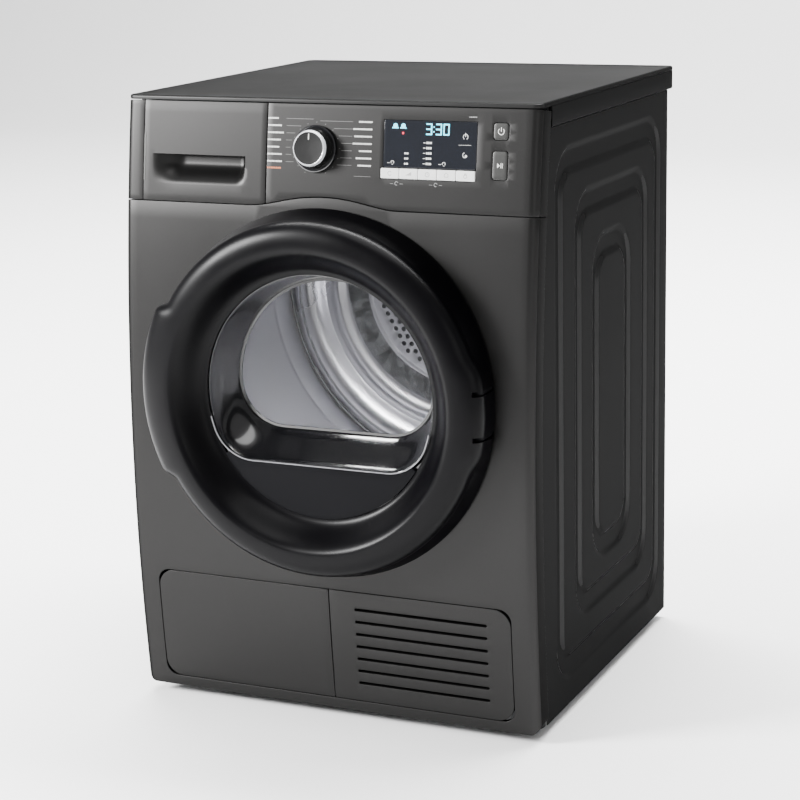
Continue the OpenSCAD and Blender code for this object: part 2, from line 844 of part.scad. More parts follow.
module heat_exchanger_cover() color(plastic_grey) difference() {
  union() {
    block([duct_x0 + 2, base_y0 - 6, 61], [duct_x1 - 5, base_y0 - 0.6, 196]);
    block([duct_x0 + 4, base_y0 - 1, 64], [duct_x1 - 7, base_y0 + 12, 190]);
    for (x = latch_xs)
      rod_y(x, base_y0 - 17, base_y0 - 5, latch_z, 4);
  }
  block([duct_x0 + 8, base_y0 + 2, 68], [duct_x1 - 11, base_y0 + 13, 186]);
}

module turn_latch(x, side) color(plastic_grey) difference() {
  union() {
    rod_y(x, base_y0 - 14, base_y0 - 6.4, latch_z, 11);
    block([x + min(0, side * 26), base_y0 - 14, latch_z - 7],
      [x + max(0, side * 26), base_y0 - 8, latch_z + 7]);
    rod_y(x + side * 26, base_y0 - 14, base_y0 - 8, latch_z, 7);
  }
  rod_y(x, base_y0 - 20, base_y0, latch_z, 4 + running);
}

module left_turn_latch() turn_latch(latch_xs[0], -1);
module right_turn_latch() turn_latch(latch_xs[1], 1);

// Tray-shaped plate that fills part of the lower opening, with its rim turned inwards
module inset_plate(x0, x1) {
  rim = 2.5;
  module outline(inset) intersection() {
    rounded2(gap + inset - inset_x, inset_z0 + gap + inset, inset_x - gap - inset,
      inset_z1 - gap - inset, flap_r - inset);
    box2(x0 + inset, 0, x1 - inset, inset_z1);
  }
  difference() {
    bow_cut(0, 8) along_y(-far, 0) outline(0);
    bow_cut(rim, 30) along_y(-far, 0) outline(rim);
  }
}

module heat_exchanger_flap() color(graphite) {
  difference() {
    inset_plate(-inset_x, -gap / 2);
    // Finger notch in the top edge
    bow_cut(2.5, 12) along_y(-far, 0) box2(-150, inset_z1 - 8, -110, inset_z1);
    // Room for the bearings
    for (x = flap_bearings) {
      rod_x(x - 5.5, x + 5.5, flap_axis_y, flap_axis_z, flap_boss_r + 0.3);
      bow_cut(2.5, 12) along_y(-far, 0) box2(x - 5.5, inset_z0, x + 5.5, flap_axis_z);
    }
  }
  for (x = flap_bearings) {
    rod_x(x - 9, x + 9, flap_axis_y, flap_axis_z, flap_pin_r);
    for (side = [-1, 1])
      along_x(x + side * 8 - 2, x + side * 8 + 2) {
        disc2(flap_axis_y, flap_axis_z, flap_boss_r);
        box2(front_y(flap_axis_z) + 2, flap_axis_z - 2, flap_axis_y, flap_axis_z + 4);
      }
  }
}

module grille_panel() color(graphite) {
  slot_x0 = 38;
  slot_x1 = 231;
  slot_z0 = 55;
  slot_h = 4;
  pitch = 108 / (slot_count - 1);
  difference() {
    inset_plate(gap / 2, inset_x);
    along_y(-far, 0)
      for (i = [0 : slot_count - 1])
        rounded2(slot_x0, slot_z0 + i * pitch, slot_x1, slot_z0 + slot_h + i * pitch, 1.9);
  }
}

module mains_inlet() color(black) {
  block([-262, rear_y - 1.4, 92], [-206, rear_y + 13, 132]);
  difference() {
    rod_z(-234, rear_y + 6, 74, 92.5, 7);
    rod_z(-234, rear_y + 6, 73, 88, 4.5);
  }
}

// ---- Door ----

// Outside of the ring's section: side wall, rounded shoulder, crest and dished inner face
function ring_outline(inset, steps = 12) = let (
    crest_r = 207, shoulder_y = y_door + 24, dish_y = y_belly - 10,
    a = door_r - 3 - crest_r - inset, b = shoulder_y - y_door - inset,
    inner = crest_r - ring_inner_r - inset * 0.6)
  concat([for (i = [0 : steps]) [crest_r + a * cos(i * 90 / steps), shoulder_y - b * sin(i * 90 / steps)]],
    [for (i = [1 : steps]) [crest_r - inner * i / steps,
      y_door + inset + (dish_y - y_door) * (1 - cos(i * 180 / steps)) / 2]]);

module door_ring() color(black) {
  wall = 3;
  difference() {
    union() {
      difference() {
        turned_y(0, door_z) polygon(concat([[door_r, -240]], ring_outline(0), [[ring_inner_r, -240]]));
        turned_y(0, door_z) polygon(concat([[door_r - wall, -239]], ring_outline(wall),
          [[ring_inner_r + wall, -239]]));
      }
      // Grip that widens the ring on its left
      grip_sector() turned_y(0, door_z)
        polygon([[door_r - 12, -313], [door_r, -311], [door_r + 5, -306], [door_r + 6, -301],
          [door_r + 3, -297], [door_r - 30, -297], [door_r - 30, -301], [door_r - 12, -301]]);
      // Back wall of the grip
      grip_sector() turned_y(0, door_z) box2(door_r - 33, -302, door_r - 30, -282);
      // Knuckle that turns on the hinge pin
      rod_z(hinge_x, hinge_y, door_z - ear_z + ear_t / 2 + 0.6, door_z + ear_z - ear_t / 2 - 0.6, 7.5);
      block([hinge_x - 16, hinge_y - 12, door_z - 27], [hinge_x - 4, hinge_y + 4, door_z + 27]);
    }
    behind_bow(4.5);
    // Nothing behind the belly inside the ring
    rod_y(0, -282, -200, door_z, door_r - wall - 0.1);
    // Finger space behind the grip
    grip_sector(-1) turned_y(0, door_z) box2(door_r - 30, -297, door_r + 20, -200);
    for (side = [-1, 1])
      block([hinge_x - 10, -400, door_z + side * ear_z - 3.4], [far, -200, door_z + side * ear_z + 3.4]);
    rod_z(hinge_x, hinge_y, 0, cabinet_h, pin_r + running);
  }
}

// Sector of the door ring that carries the grip
module grip_sector(grow = 0)
  intersection() {
    children();
    along_y(-far, 0) polygon([[0, door_z], [-far, door_z + far * tan(24 + grow)],
      [-far, door_z - far * tan(24 + grow)]]);
  }

// Space of the window recess: a cone with a sloping flat bottom
module recess(grow) {
  front = y_belly - 6.6;
  rear = y_belly + 45;
  difference() {
    translate([0, front, door_z]) rotate([-90, 0, 0])
      cylinder(r1 = ring_inner_r - 1 + grow, r2 = window_r + grow, h = rear - front);
    along_x(-far, far) polygon([[front - 1, door_z - 93 - grow], [front, door_z - 93 - grow],
      [rear, door_z - 60 - grow], [rear + 1, door_z - 60 - grow], [rear + 1, 0], [front - 1, 0]]);
  }
}

module door_frame() color(black) {
  rear = y_belly + 45;
  difference() {
    union() {
      recess(3);
      along_y(rear, rear + 2.6) chord_disc2(0, door_z, window_r + 3, door_z - 63);
      // Cover that closes the back of the ring
      rod_disc(0, y_belly - 6.6, y_belly - 4.2, door_z, door_r - 8, ring_inner_r - 8);
      along_y(y_belly - 6.6, y_belly - 4.2) segment2(0, door_z, ring_inner_r, door_z - 90);
    }
    difference() {
      recess(0);
      along_y(y_belly + 44, 0) difference() {
        disc2(0, door_z, 300);
        chord_disc2(0, door_z, window_r - 4, door_z - 56);
      }
    }
    along_y(rear - 10, rear + 3) chord_disc2(0, door_z, window_r - 4, door_z - 56);
    // Room for the hinge and the grip
    block([hinge_x - 18, -300, door_z - 44], [far, -200, door_z + 44]);
    grip_sector(2) rod_disc(0, -300, -200, door_z, far, door_r - 34);
    block([-211, -300, door_z - 16], [-197, -200, door_z + 16]);
  }
}

module door_window() color([0.6, 0.7, 0.75, 0.35]) {
  rear = y_belly + 45;
  along_y(rear + 2.9, rear + 5.2) chord_disc2(0, door_z, window_r + 2, door_z - 62);
}

module door_lower_plate() color(black)
  along_y(y_belly - 12, y_belly - 9.4) segment2(0, door_z, ring_inner_r - 3, door_z - 93.5);

module door_striker() color(steel) {
  block([-210, y_belly - 12, door_z - 15], [-198, y_belly - 7, door_z + 15]);
  difference() {
    block([-206, y_belly - 8, door_z - 15], [-202, y_belly + 16, door_z + 15]);
    block([-207, y_belly + 4, door_z - 9], [-201, y_belly + 11, door_z + 9]);
  }
}

module hinge_bracket() color(steel) {
  block([hinge_x - 16, y_belly + 7, door_z - 52], [hinge_x + 14, y_belly + 9.5, door_z + 52]);
  for (side = [-1, 1]) {
    z = door_z + side * ear_z;
    block([hinge_x - 7, hinge_y, z - ear_t / 2], [hinge_x + 7, y_belly + 8, z + ear_t / 2]);
    rod_z(hinge_x, hinge_y, z - ear_t / 2, z + ear_t / 2, 7);
  }
  rod_z(hinge_x, hinge_y, door_z - ear_z - ear_t / 2 - 1.5, door_z + ear_z + ear_t / 2 + 1.5, pin_r);
}

module latch_housing() color(black) difference() {
  block([-230, y_belly + 6, door_z - 24], [-190.6, y_belly + 40, door_z + 24]);
  difference() {
    block([-227, y_belly + 5, door_z - 21], [-193.4, y_belly + 37, door_z + 21]);
    rod_z(latch_x, latch_y, door_z - 22, door_z + 22, 1.5 - running);
  }
}

// Sprung cam that bears beside the striker
module latch_hook() color(white) difference() {
  union() {
    rod_z(latch_x, latch_y, door_z - 12, door_z + 12, 4);
    along_z(door_z - 7, door_z + 7) polygon([[latch_x - 3, latch_y - 2], [latch_x + 2, latch_y + 3],
      [latch_x + 11, latch_y - 8], [latch_x + 12.2, latch_y - 14], [latch_x + 7, latch_y - 15]]);
  }
  rod_z(latch_x, latch_y, door_z - 13, door_z + 13, 1.5);
}

// ---- Lint filter ----

module lint_filter_outer() color(black) {
  y0 = bulkhead_y - 22;
  difference() {
    block([-118, y0, 214], [118, y0 + 9, shelf_z + 4]);
    block([-110, y0 + 1.6, 222], [110, y0 + 10, shelf_z - 12]);
    for (x = [-108 : 36 : 72])
      block([x + 3, y0 - 1, 226], [x + 33, y0 + 3, shelf_z - 16]);
  }
  // Handle
  block([-40, y0 + 2, shelf_z + 3.5], [40, y0 + 6, shelf_z + 20]);
  // Barrels of the hinge between the two halves
  for (x = [-90, 30])
    difference() {
      union() {
        rod_x(x, x + 24, y0 + 9.4, 210, 3);
        block([x, y0 + 4, 209], [x + 24, y0 + 8, 215]);
      }
      rod_x(x - 1, x + 25, y0 + 9.4, 210, 1.5 + running);
    }
}

module lint_filter_inner() color(plastic_grey) {
  y0 = bulkhead_y - 12.5;
  difference() {
    block([-118, y0 + 0.6, 214], [118, y0 + 9, shelf_z + 4]);
    block([-110, y0 - 1, 222], [110, y0 + 7.4, shelf_z - 12]);
    for (x = [-108 : 36 : 72])
      block([x + 3, y0 + 5, 226], [x + 33, y0 + 10, shelf_z - 16]);
  }
  for (x = [-94, 26]) {
    block([x, y0 - 1.6, 208], [x + 3, y0 + 3, 213.6]);
    block([x, y0 + 0.6, 212], [x + 3, y0 + 3, 215]);
    rod_x(x + 1, x + 27.5, y0 - 0.1, 210, 1.5);
  }
}

// ---- Feet ----

module foot(x, y) {
  rod_z(x, y, 0, 6, 21);
  rod_z(x, y, 5.5, 9, 11);
  rod_z(x, y, 8.5, base_z + 30, 5);
}

module left_front_foot() color(black) foot(-foot_x, foot_y0);
module right_front_foot() color(black) foot(foot_x, foot_y0);
module rear_feet() color(black)
  for (side = [-1, 1])
    foot(side * foot_x, foot_y1);

base_tray();
left_side_panel();
right_side_panel();
rear_panel();
rear_duct_cover();
front_panel();
worktop();
control_panel();
display_window();
tank_guide();
front_bulkhead();
rear_bulkhead();
air_grille();
drum_seals();
door_seal();
hinge_bracket();
latch_housing();
drive_belt();
motor();
compressor();
evaporator();
condenser();
refrigerant_pipes();
condensate_pump();
grille_panel();
heat_exchanger_cover();
mains_inlet();
drum_cylinder();
drum_lifters();
door_ring();
door_frame();
door_window();
door_lower_plate();
door_striker();
latch_hook();
lint_filter_outer();
lint_filter_inner();
heat_exchanger_flap();
left_turn_latch();
right_turn_latch();
drawer_front();
water_tank();
program_knob();
power_button();
start_button();
option_button_1();
option_button_2();
option_button_3();
option_button_4();
option_button_5();
motor_shaft();
blower_wheel();
idler_arm();
idler_pulley();
cooling_fan();
left_roller();
right_roller();
left_front_foot();
right_front_foot();
rear_feet();
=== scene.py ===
"""Looks of a free-standing heat-pump clothes dryer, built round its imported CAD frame.

Lengths are millimetres until a mesh is made; Blender's own unit is the metre.
+Z is up and the front faces -Y, as in the frame.
"""

import json
import math

import bmesh
import bpy
import numpy as np
from mathutils import Matrix, Vector, geometry


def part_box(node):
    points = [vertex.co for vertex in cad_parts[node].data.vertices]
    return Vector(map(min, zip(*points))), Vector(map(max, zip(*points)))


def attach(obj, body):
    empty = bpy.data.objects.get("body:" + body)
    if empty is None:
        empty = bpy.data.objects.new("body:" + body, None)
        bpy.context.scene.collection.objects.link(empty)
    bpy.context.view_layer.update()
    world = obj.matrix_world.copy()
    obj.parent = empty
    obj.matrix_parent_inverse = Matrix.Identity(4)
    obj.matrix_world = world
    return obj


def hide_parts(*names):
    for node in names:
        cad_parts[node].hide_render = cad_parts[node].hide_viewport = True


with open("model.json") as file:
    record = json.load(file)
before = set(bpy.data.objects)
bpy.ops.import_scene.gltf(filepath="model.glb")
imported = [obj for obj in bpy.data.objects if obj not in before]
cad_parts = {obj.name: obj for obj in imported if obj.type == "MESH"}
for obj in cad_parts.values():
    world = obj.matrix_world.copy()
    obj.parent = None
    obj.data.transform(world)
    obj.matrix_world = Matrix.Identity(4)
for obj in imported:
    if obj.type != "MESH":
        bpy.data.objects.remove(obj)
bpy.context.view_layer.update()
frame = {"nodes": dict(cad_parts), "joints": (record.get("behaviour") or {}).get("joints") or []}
MM = 0.001


def node_box(name):
    """Lowest and highest corners of a CAD node, in millimetres."""
    low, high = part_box(name)
    return np.array(low) / MM, np.array(high) / MM


def frame_joint(name):
    """Place of a joint's axis, in millimetres."""
    joint = next(j for j in frame["joints"] if j["name"] == name)
    return [v / MM for v in joint["pos_m"]]


# ---- Main places, taken from the frame ----
top_low, top_high = node_box("worktop")
side_low, side_high = node_box("right_side_panel")
front_low = node_box("front_panel")[0]
ring_low, ring_high = node_box("door_ring")
drum_low, drum_high = node_box("drum_cylinder")

HALF_W = top_high[0]
CORNER_R = 12.0
BOW_R = 3000.0
BOW_Z = 350.0
Y_BELLY = front_low[1]
BOW_CY = Y_BELLY + BOW_R
WRAP = 36.0
BASE_Z = front_low[2]
PANEL_TOP = node_box("control_panel")[1][2]
SEAM_Z = 709.75
SEAM_GAP = 0.9

DOOR_Z = (ring_low[2] + ring_high[2]) / 2
DOOR_R = 248.0
DOOR_Y = ring_low[1]
RING_IN = 166.0
CREST_R = 207.0
WINDOW_R = 146.0
ARCH_R = 263.0
HINGE = (236.0, -300.0)
HINGE_ARMS = (DOOR_Z - 30, DOOR_Z + 30)
DRUM_R = (drum_high[0] - drum_low[0]) / 2
DRUM_Z = (drum_high[2] + drum_low[2]) / 2


# ---- Mesh tools ----

def bow(x, z, depth=0.0):
    """Point at a depth behind the bowed front."""
    s = (z - BOW_Z) / BOW_R
    r = BOW_R - depth
    return (x, BOW_CY - r * math.sqrt(1 - s * s), BOW_Z + r * s)


FLAT = HALF_W - CORNER_R
ARC = CORNER_R * math.pi / 2
WRAP_U = FLAT + ARC + WRAP - CORNER_R


def wrapped(u, z, depth=0.0):
    """Point on the bowed front, where u runs across it and on round its corners."""
    a = abs(u)
    if a <= FLAT:
        x, rho = a, depth
    elif a <= FLAT + ARC:
        t = (a - FLAT) / CORNER_R
        x = FLAT + (CORNER_R - depth) * math.sin(t)
        rho = CORNER_R - (CORNER_R - depth) * math.cos(t)
    else:
        x, rho = HALF_W - depth, CORNER_R + a - FLAT - ARC
    return bow(math.copysign(x, u), z, rho)


def smooth(t):
    """Soft step from 0 to 1."""
    t = min(max(t, 0.0), 1.0)
    return t * t * (3 - 2 * t)


def facing(y, way=1):
    """Placing on a flat face at y that looks towards -y, or towards +y when way is -1."""
    return lambda x, z, depth=0.0: (x, y + way * depth, z)


def arc_points(cx, cz, r, a0, a1, n):
    return [(cx + r * math.cos(math.radians(a0 + (a1 - a0) * i / n)),
             cz + r * math.sin(math.radians(a0 + (a1 - a0) * i / n))) for i in range(n + 1)]


UNSPLIT = 1e9


def densify(loop, step):
    """Splits the long edges of a loop."""
    out = []
    for p, q in zip(loop, loop[1:] + loop[:1]):
        n = max(1, int(math.dist(p, q) / step))
        out += [(p[0] + (q[0] - p[0]) * i / n, p[1] + (q[1] - p[1]) * i / n) for i in range(n)]
    return out


def rounded(x0, z0, x1, z1, r, n=6, step=12.0):
    """Rounded rectangle, anticlockwise."""
    loop = []
    for cx, cz, a in ((x1 - r, z0 + r, -90), (x1 - r, z1 - r, 0),
                      (x0 + r, z1 - r, 90), (x0 + r, z0 + r, 180)):
        loop += arc_points(cx, cz, r, a, a + 90, n)
    return densify(loop, step)


def circle(cx, cz, r, n=64):
    return arc_points(cx, cz, r, 0, 360, n)[:-1]


def hole(loop):
    return list(reversed(loop))


def inset(loop, d):
    """Moves a loop towards the material, which lies on its left."""
    p = np.asarray(loop, float)
    e1 = p - np.roll(p, 1, 0)
    e2 = np.roll(p, -1, 0) - p
    e1 /= np.linalg.norm(e1, axis=1)[:, None]
    e2 /= np.linalg.norm(e2, axis=1)[:, None]
    n1 = np.stack([-e1[:, 1], e1[:, 0]], 1)
    n2 = np.stack([-e2[:, 1], e2[:, 0]], 1)
    m = n1 + n2
    m /= np.linalg.norm(m, axis=1)[:, None]
    k = np.clip((m * n1).sum(1), 0.4, 1)
    return [tuple(q) for q in p + m * (d / k)[:, None]]


def inside(points, loops):
    """Which points an odd number of loops go round."""
    x, z = points[:, 0], points[:, 1]
    odd = np.zeros(len(points), bool)
    for loop in loops:
        p = np.asarray(loop)
        q = np.roll(p, -1, 0)
        for (x0, z0), (x1, z1) in zip(p, q):
            crosses = (z0 > z) != (z1 > z)
            if z0 != z1:
                odd ^= crosses & (x < (x1 - x0) * (z - z0) / (z1 - z0) + x0)
    return odd


def triangulate(loops, xs, zs):
    """Fills loops with triangles, using a grid of inner points."""
    points, edges = [], []
    for loop in loops:
        base, n = len(points), len(loop)
        points += [Vector(p) for p in loop]
        edges += [(base + i, base + (i + 1) % n) for i in range(n)]
    rim = np.array([tuple(p) for p in points])
    if len(xs) and len(zs):
        grid = np.array([(x, z) for x in xs for z in zs])
        grid = grid[inside(grid, loops)]
        if len(grid):
            gap = np.min(np.abs(grid[:, None, :] - rim[None, :, :]).max(2), axis=1)
            points += [Vector(p) for p in grid[gap > 1.6]]
    verts, _, faces, *_ = geometry.delaunay_2d_cdt(points, edges, [], 0, 1e-6)
    mid = np.array([[(verts[f[0]][k] + verts[f[1]][k] + verts[f[2]][k]) / 3 for k in (0, 1)]
                    for f in faces])
    keep = inside(mid, loops)
    return [tuple(v) for v in verts], [f for f, k in zip(faces, keep) if k]


def add_faces(bm, verts, faces):
    made = [bm.verts.new(Vector(v) * MM) for v in verts]
    for f in faces:
        try:
            bm.faces.new([made[i] for i in f])
        except ValueError:
            pass


def plate(bm, loops, place, thick, edge=0.5, xs=(), zs=(), rim=None, joined=()):
    """Plate with rounded front edges; rim is how deep its edge is folded back.

    At a joined loop it goes on into another surface.
    """
    rim = rim or thick
    steps = 3
    section = [(edge * (1 - math.sin(t)), edge * (1 - math.cos(t)))
               for t in [math.pi / 2 * i / steps for i in range(steps + 1)]]
    section.append((0, rim - 0.3))
    section.append((0.3, rim))
    if rim > thick:
        section += [(thick, rim), (thick, thick)]
    for loop in loops:
        rings = [[place(*p, depth) for p in inset(loop, d)] for d, depth in section]
        loft(bm, rings)
    for d, depth in (section[0], section[-1]):
        verts, faces = triangulate([inset(loop, d) for loop in loops] + list(joined), xs, zs)
        add_faces(bm, [place(*p, depth) for p in verts], faces)


def loft(bm, rings, closed=True, cap=False, loop_back=False):
    """Skins between rings of points; cap closes the first and last ring."""
    made = [[bm.verts.new(Vector(p) * MM) for p in ring] for ring in rings]
    n = len(rings[0])
    pairs = list(zip(made, made[1:] + made[:1])) if loop_back else list(zip(made, made[1:]))
    for a, b in pairs:
        for i in range(n if closed else n - 1):
            j = (i + 1) % n
            bm.faces.new((a[i], a[j], b[j], b[i]))
    if cap:
        for ring in (made[0], made[-1]):
            bm.faces.new(ring)


def lathe(bm, profile, centre, axis="y", n=128, closed=True):
    """Turns (radius, height) points about an axis through a centre."""
    cx, cy, cz = centre
    rings = []
    for r, h in profile:
        ring = []
        for i in range(n):
            t = 2 * math.pi * i / n
            c, s = r * math.cos(t), r * math.sin(t)
            ring.append({"y": (cx + c, cy + h, cz + s), "z": (cx + c, cy + s, cz + h),
                         "x": (cx + h, cy + c, cz + s)}[axis])
        rings.append(ring)
    loft(bm, rings, loop_back=closed)


def prism(bm, loop, place, low, high):
    """Solid patch between two depths, such as a printed mark."""
    loft(bm, [[place(*p, depth) for p in loop] for depth in (high, low)], cap=True)


def plan(x0, y0, x1, y1, r, z, n=8):
    """Rounded rectangle lying at a height; its long edges stay whole."""
    return [(x, y, z) for x, y in rounded(x0, y0, x1, y1, r, n, UNSPLIT)]


def block(bm, low, high, bevel=1.0):
    """Box with rounded edges."""
    x0, y0, z0 = low
    x1, y1, z1 = high
    r = min(bevel, (x1 - x0) / 2.01, (y1 - y0) / 2.01, (z1 - z0) / 2.01)
    section = []
    for t in range(4):
        a = math.pi / 2 * t / 3
        section.append((r * (1 - math.sin(a)), z0 + r * (1 - math.cos(a))))
    section += [(d, z0 + z1 - z) for d, z in reversed(section)]
    rings = [plan(x0 + d, y0 + d, x1 - d, y1 - d, max(r - d, 0.05), z, 3) for d, z in section]
    loft(bm, rings, cap=True)


def piece(name, bm, body, slot, material, *nodes, sharp=35):
    """Makes an object of a mesh, and gives it its body and material; its slot argument is not used."""
    bmesh.ops.remove_doubles(bm, verts=bm.verts, dist=2e-6)
    bmesh.ops.dissolve_degenerate(bm, edges=bm.edges, dist=1e-7)
    bmesh.ops.recalc_face_normals(bm, faces=bm.faces)
    mesh = bpy.data.meshes.new(name)
    bm.to_mesh(mesh)
    bm.free()
    mesh.shade_smooth()
    mesh.set_sharp_from_angle(angle=math.radians(sharp))
    obj = bpy.data.objects.new(name, mesh)
    bpy.context.scene.collection.objects.link(obj)
    obj.data.materials.append(material)
    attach(obj, body)
    if nodes:
        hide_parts(*nodes)
    return obj


# ---- Materials ----

class Shader:
    """A material under construction."""

    def __init__(self, name, color, rough, metallic=0.0):
        self.mat = bpy.data.materials.new(name)
        self.mat.use_nodes = True
        self.tree = self.mat.node_tree
        self.main = self.tree.nodes["Principled BSDF"]
        self.set("Base Color", (*color, 1))
        self.set("Roughness", rough)
        self.set("Metallic", metallic)
        self.place = self.node("ShaderNodeTexCoord").outputs["Object"]

    def set(self, socket, value):
        self.main.inputs[socket].default_value = value
        return self

    def node(self, kind, **values):
        n = self.tree.nodes.new(kind)
        for k, v in values.items():
            if k in n.inputs:
                n.inputs[k].default_value = v
            else:
                setattr(n, k, v)
        return n

    def link(self, a, b):
        self.tree.links.new(a, b)

    def stretched(self, scale):
        m = self.node("ShaderNodeMapping")
        m.inputs["Scale"].default_value = scale
        self.link(self.place, m.inputs["Vector"])
        return m.outputs["Vector"]

    def noise(self, scale, detail=3.0, stretch=None):
        n = self.node("ShaderNodeTexNoise", Scale=scale, Detail=detail)
        self.link(self.stretched(stretch) if stretch else self.place, n.inputs["Vector"])
        return n.outputs["Fac"]

    def ranged(self, value, low, high, from_low=0.3, from_high=0.7):
        r = self.node("ShaderNodeMapRange")
        for k, v in (("From Min", from_low), ("From Max", from_high), ("To Min", low),
                     ("To Max", high)):
            r.inputs[k].default_value = v
        self.link(value, r.inputs["Value"])
        return r.outputs["Result"]

    def tint(self, value, dark, light, from_low=0.3, from_high=0.7):
        m = self.node("ShaderNodeMix", data_type="RGBA")
        self.link(self.ranged(value, 0, 1, from_low, from_high), m.inputs[0])
        m.inputs[6].default_value = (*dark, 1)
        m.inputs[7].default_value = (*light, 1)
        self.link(m.outputs[2], self.main.inputs["Base Color"])
        return self

    def rough(self, value, low, high):
        self.link(self.ranged(value, low, high), self.main.inputs["Roughness"])
        return self

    def bump(self, value, strength, distance=0.0003):
        b = self.node("ShaderNodeBump", Strength=strength, Distance=distance)
        self.link(value, b.inputs["Height"])
        last = self.main.inputs["Normal"].links
        if last:
            self.link(last[0].from_socket, b.inputs["Normal"])
        self.link(b.outputs["Normal"], self.main.inputs["Normal"])
        return self


def around(color, spread):
    return [c * (1 - spread) for c in color], [c * (1 + spread) for c in color]


def painted(name, color, rough=0.4, metallic=0.92):
    s = Shader(name, color, rough, metallic)
    s.tint(s.noise(1400, 2), *around(color, 0.10))
    s.rough(s.noise(5, 4), rough - 0.03, rough + 0.03)
    s.bump(s.noise(1800, 2), 0.05, 0.00004).bump(s.noise(60, 2), 0.02, 0.0004)
    s.set("Specular IOR Level", 0.1).set("Specular Tint", (0.12, 0.12, 0.12, 1))
    return s.mat


def moulded(name, color, rough=0.5, grain=0.12, gloss=0.4):
    s = Shader(name, color, rough)
    s.tint(s.noise(30, 4), *around(color, 0.07))
    s.rough(s.noise(12, 5), rough - 0.05, rough + 0.05)
    s.bump(s.noise(2600, 2), grain, 0.00008)
    s.set("Specular IOR Level", gloss)
    return s.mat


def polished(name, color, rough=0.13):
    s = Shader(name, color, rough)
    s.tint(s.noise(18, 3), *around(color, 0.12))
    s.rough(s.noise(26, 6), rough - 0.025, rough + 0.03)
    s.bump(s.noise(90, 2), 0.015, 0.0003)
    s.set("Coat Weight", 0.6).set("Coat Roughness", 0.06)
    return s.mat


def brushed(name, color, stretch, rough):
    s = Shader(name, color, rough, 1.0)
    lines = s.noise(1.0, 4, stretch)
    s.tint(lines, *around(color, 0.10))
    s.rough(lines, rough - 0.05, rough + 0.07)
    s.bump(lines, 0.10, 0.00015)
    s.set("Anisotropic", 0.35)
    return s.mat


def zinc(name, color):
    s = Shader(name, color, 0.42, 0.9)
    cells = s.node("ShaderNodeTexVoronoi", Scale=130)
    s.link(s.place, cells.inputs["Vector"])
    gray = s.node("ShaderNodeRGBToBW")
    s.link(cells.outputs["Color"], gray.inputs["Color"])
    s.tint(gray.outputs["Val"], *around(color, 0.13))
    s.rough(gray.outputs["Val"], 0.34, 0.5)
    s.bump(s.noise(400, 3), 0.05, 0.0001)
    return s.mat


def rubbery(name, color=(0.012, 0.012, 0.013)):
    s = Shader(name, color, 0.62)
    s.tint(s.noise(40, 4), *around(color, 0.2))
    s.rough(s.noise(25, 4), 0.55, 0.72)
    s.bump(s.noise(1500, 3), 0.2, 0.0001)
    return s.mat


def felted(name, color):
    s = Shader(name, color, 0.95)
    s.tint(s.noise(700, 5), *around(color, 0.25))
    s.bump(s.noise(1100, 5), 0.6, 0.0004)
    s.set("Sheen Weight", 0.5)
    return s.mat


def glowing(name, color, strength):
    s = Shader(name, color, 0.3)
    s.set("Emission Color", (*color, 1)).set("Emission Strength", strength)
    s.tint(s.noise(300, 2), *around(color, 0.05))
    return s.mat


def clear(name, color, alpha, rough=0.03):
    s = Shader(name, color, rough)
    s.set("Alpha", alpha).set("Coat Weight", 0.3)
    s.rough(s.noise(9, 4), rough - 0.01, rough + 0.03)
    return s.mat


GRAPHITE = (0.024, 0.0237, 0.0235)
paint = painted("graphite_paint", GRAPHITE)
# Lit copy of the graphite paint for the sides and the top: its colour and roughness are retuned for how
# light falls there, which is painted light and shade on one and the same real paint
side_top_lit_copy = painted("graphite_side_top_lit_copy", (0.026, 0.026, 0.026), 0.42)
key_paint = painted("key_paint", (0.045, 0.045, 0.044), 0.4)
black_paint = painted("black_paint", (0.012, 0.012, 0.013), 0.4, 0.2)
gloss_black = polished("gloss_black", (0.0045, 0.0045, 0.0055))
satin_black = moulded("satin_black", (0.0006, 0.0005, 0.0009), 0.33, 0.02, 0.10)
funnel_black = polished("funnel_black", (0.003, 0.003, 0.0035), 0.16)
knob_black = polished("knob_black", (0.004, 0.004, 0.004), 0.2)
dark_plastic = moulded("dark_plastic", (0.012, 0.012, 0.013), 0.42)
inner_plastic = moulded("inner_plastic", (0.09, 0.092, 0.095), 0.5)
plate_plastic = moulded("plate_plastic", (0.0015, 0.0015, 0.0022), 0.42, 0.05, 0.07)
white_plastic = moulded("white_plastic", (0.62, 0.62, 0.61), 0.35, 0.04)
tank_plastic = moulded("tank_plastic", (0.55, 0.57, 0.58), 0.38, 0.05)
chrome = polished("chrome_trim", (0.55, 0.56, 0.58), 0.12)
drum_steel = brushed("drum_steel", (0.62, 0.62, 0.65), (5, 5, 5), 0.3)
wall_steel = brushed("wall_steel", (0.50, 0.50, 0.53), (7, 3, 7), 0.42)
# Light grey for the rod along the window's lower edge, a painted highlight
edge_highlight_grey = polished("edge_highlight_grey", (0.16, 0.16, 0.17), 0.25)
part_steel = zinc("zinc_steel", (0.24, 0.245, 0.25))
rubber = rubbery("seal_rubber")
felt = felted("felt", (0.045, 0.045, 0.045))
display_glass = polished("display_glass", (0.003, 0.004, 0.007), 0.08)
window_glass = clear("window_glass", (0.02, 0.02, 0.024), 0.06)
fin_metal = brushed("fin_metal", (0.6, 0.61, 0.62), (900, 6, 300), 0.35)
copper = zinc("copper_pipe", (0.45, 0.2, 0.11))
cyan_light = glowing("cyan_light", (0.10, 0.62, 0.80), 2.2)
red_light = glowing("red_light", (0.55, 0.02, 0.04), 1.2)
white_ink = moulded("white_ink", (0.55, 0.55, 0.53), 0.5, 0.02)
grey_ink = moulded("grey_ink", (0.18, 0.18, 0.18), 0.5, 0.02)
faint_ink = moulded("faint_ink", (0.16, 0.16, 0.155), 0.5, 0.02)
orange_ink = moulded("orange_ink", (0.42, 0.11, 0.03), 0.5, 0.02)


# ---- Front: panel, controls and water drawer ----

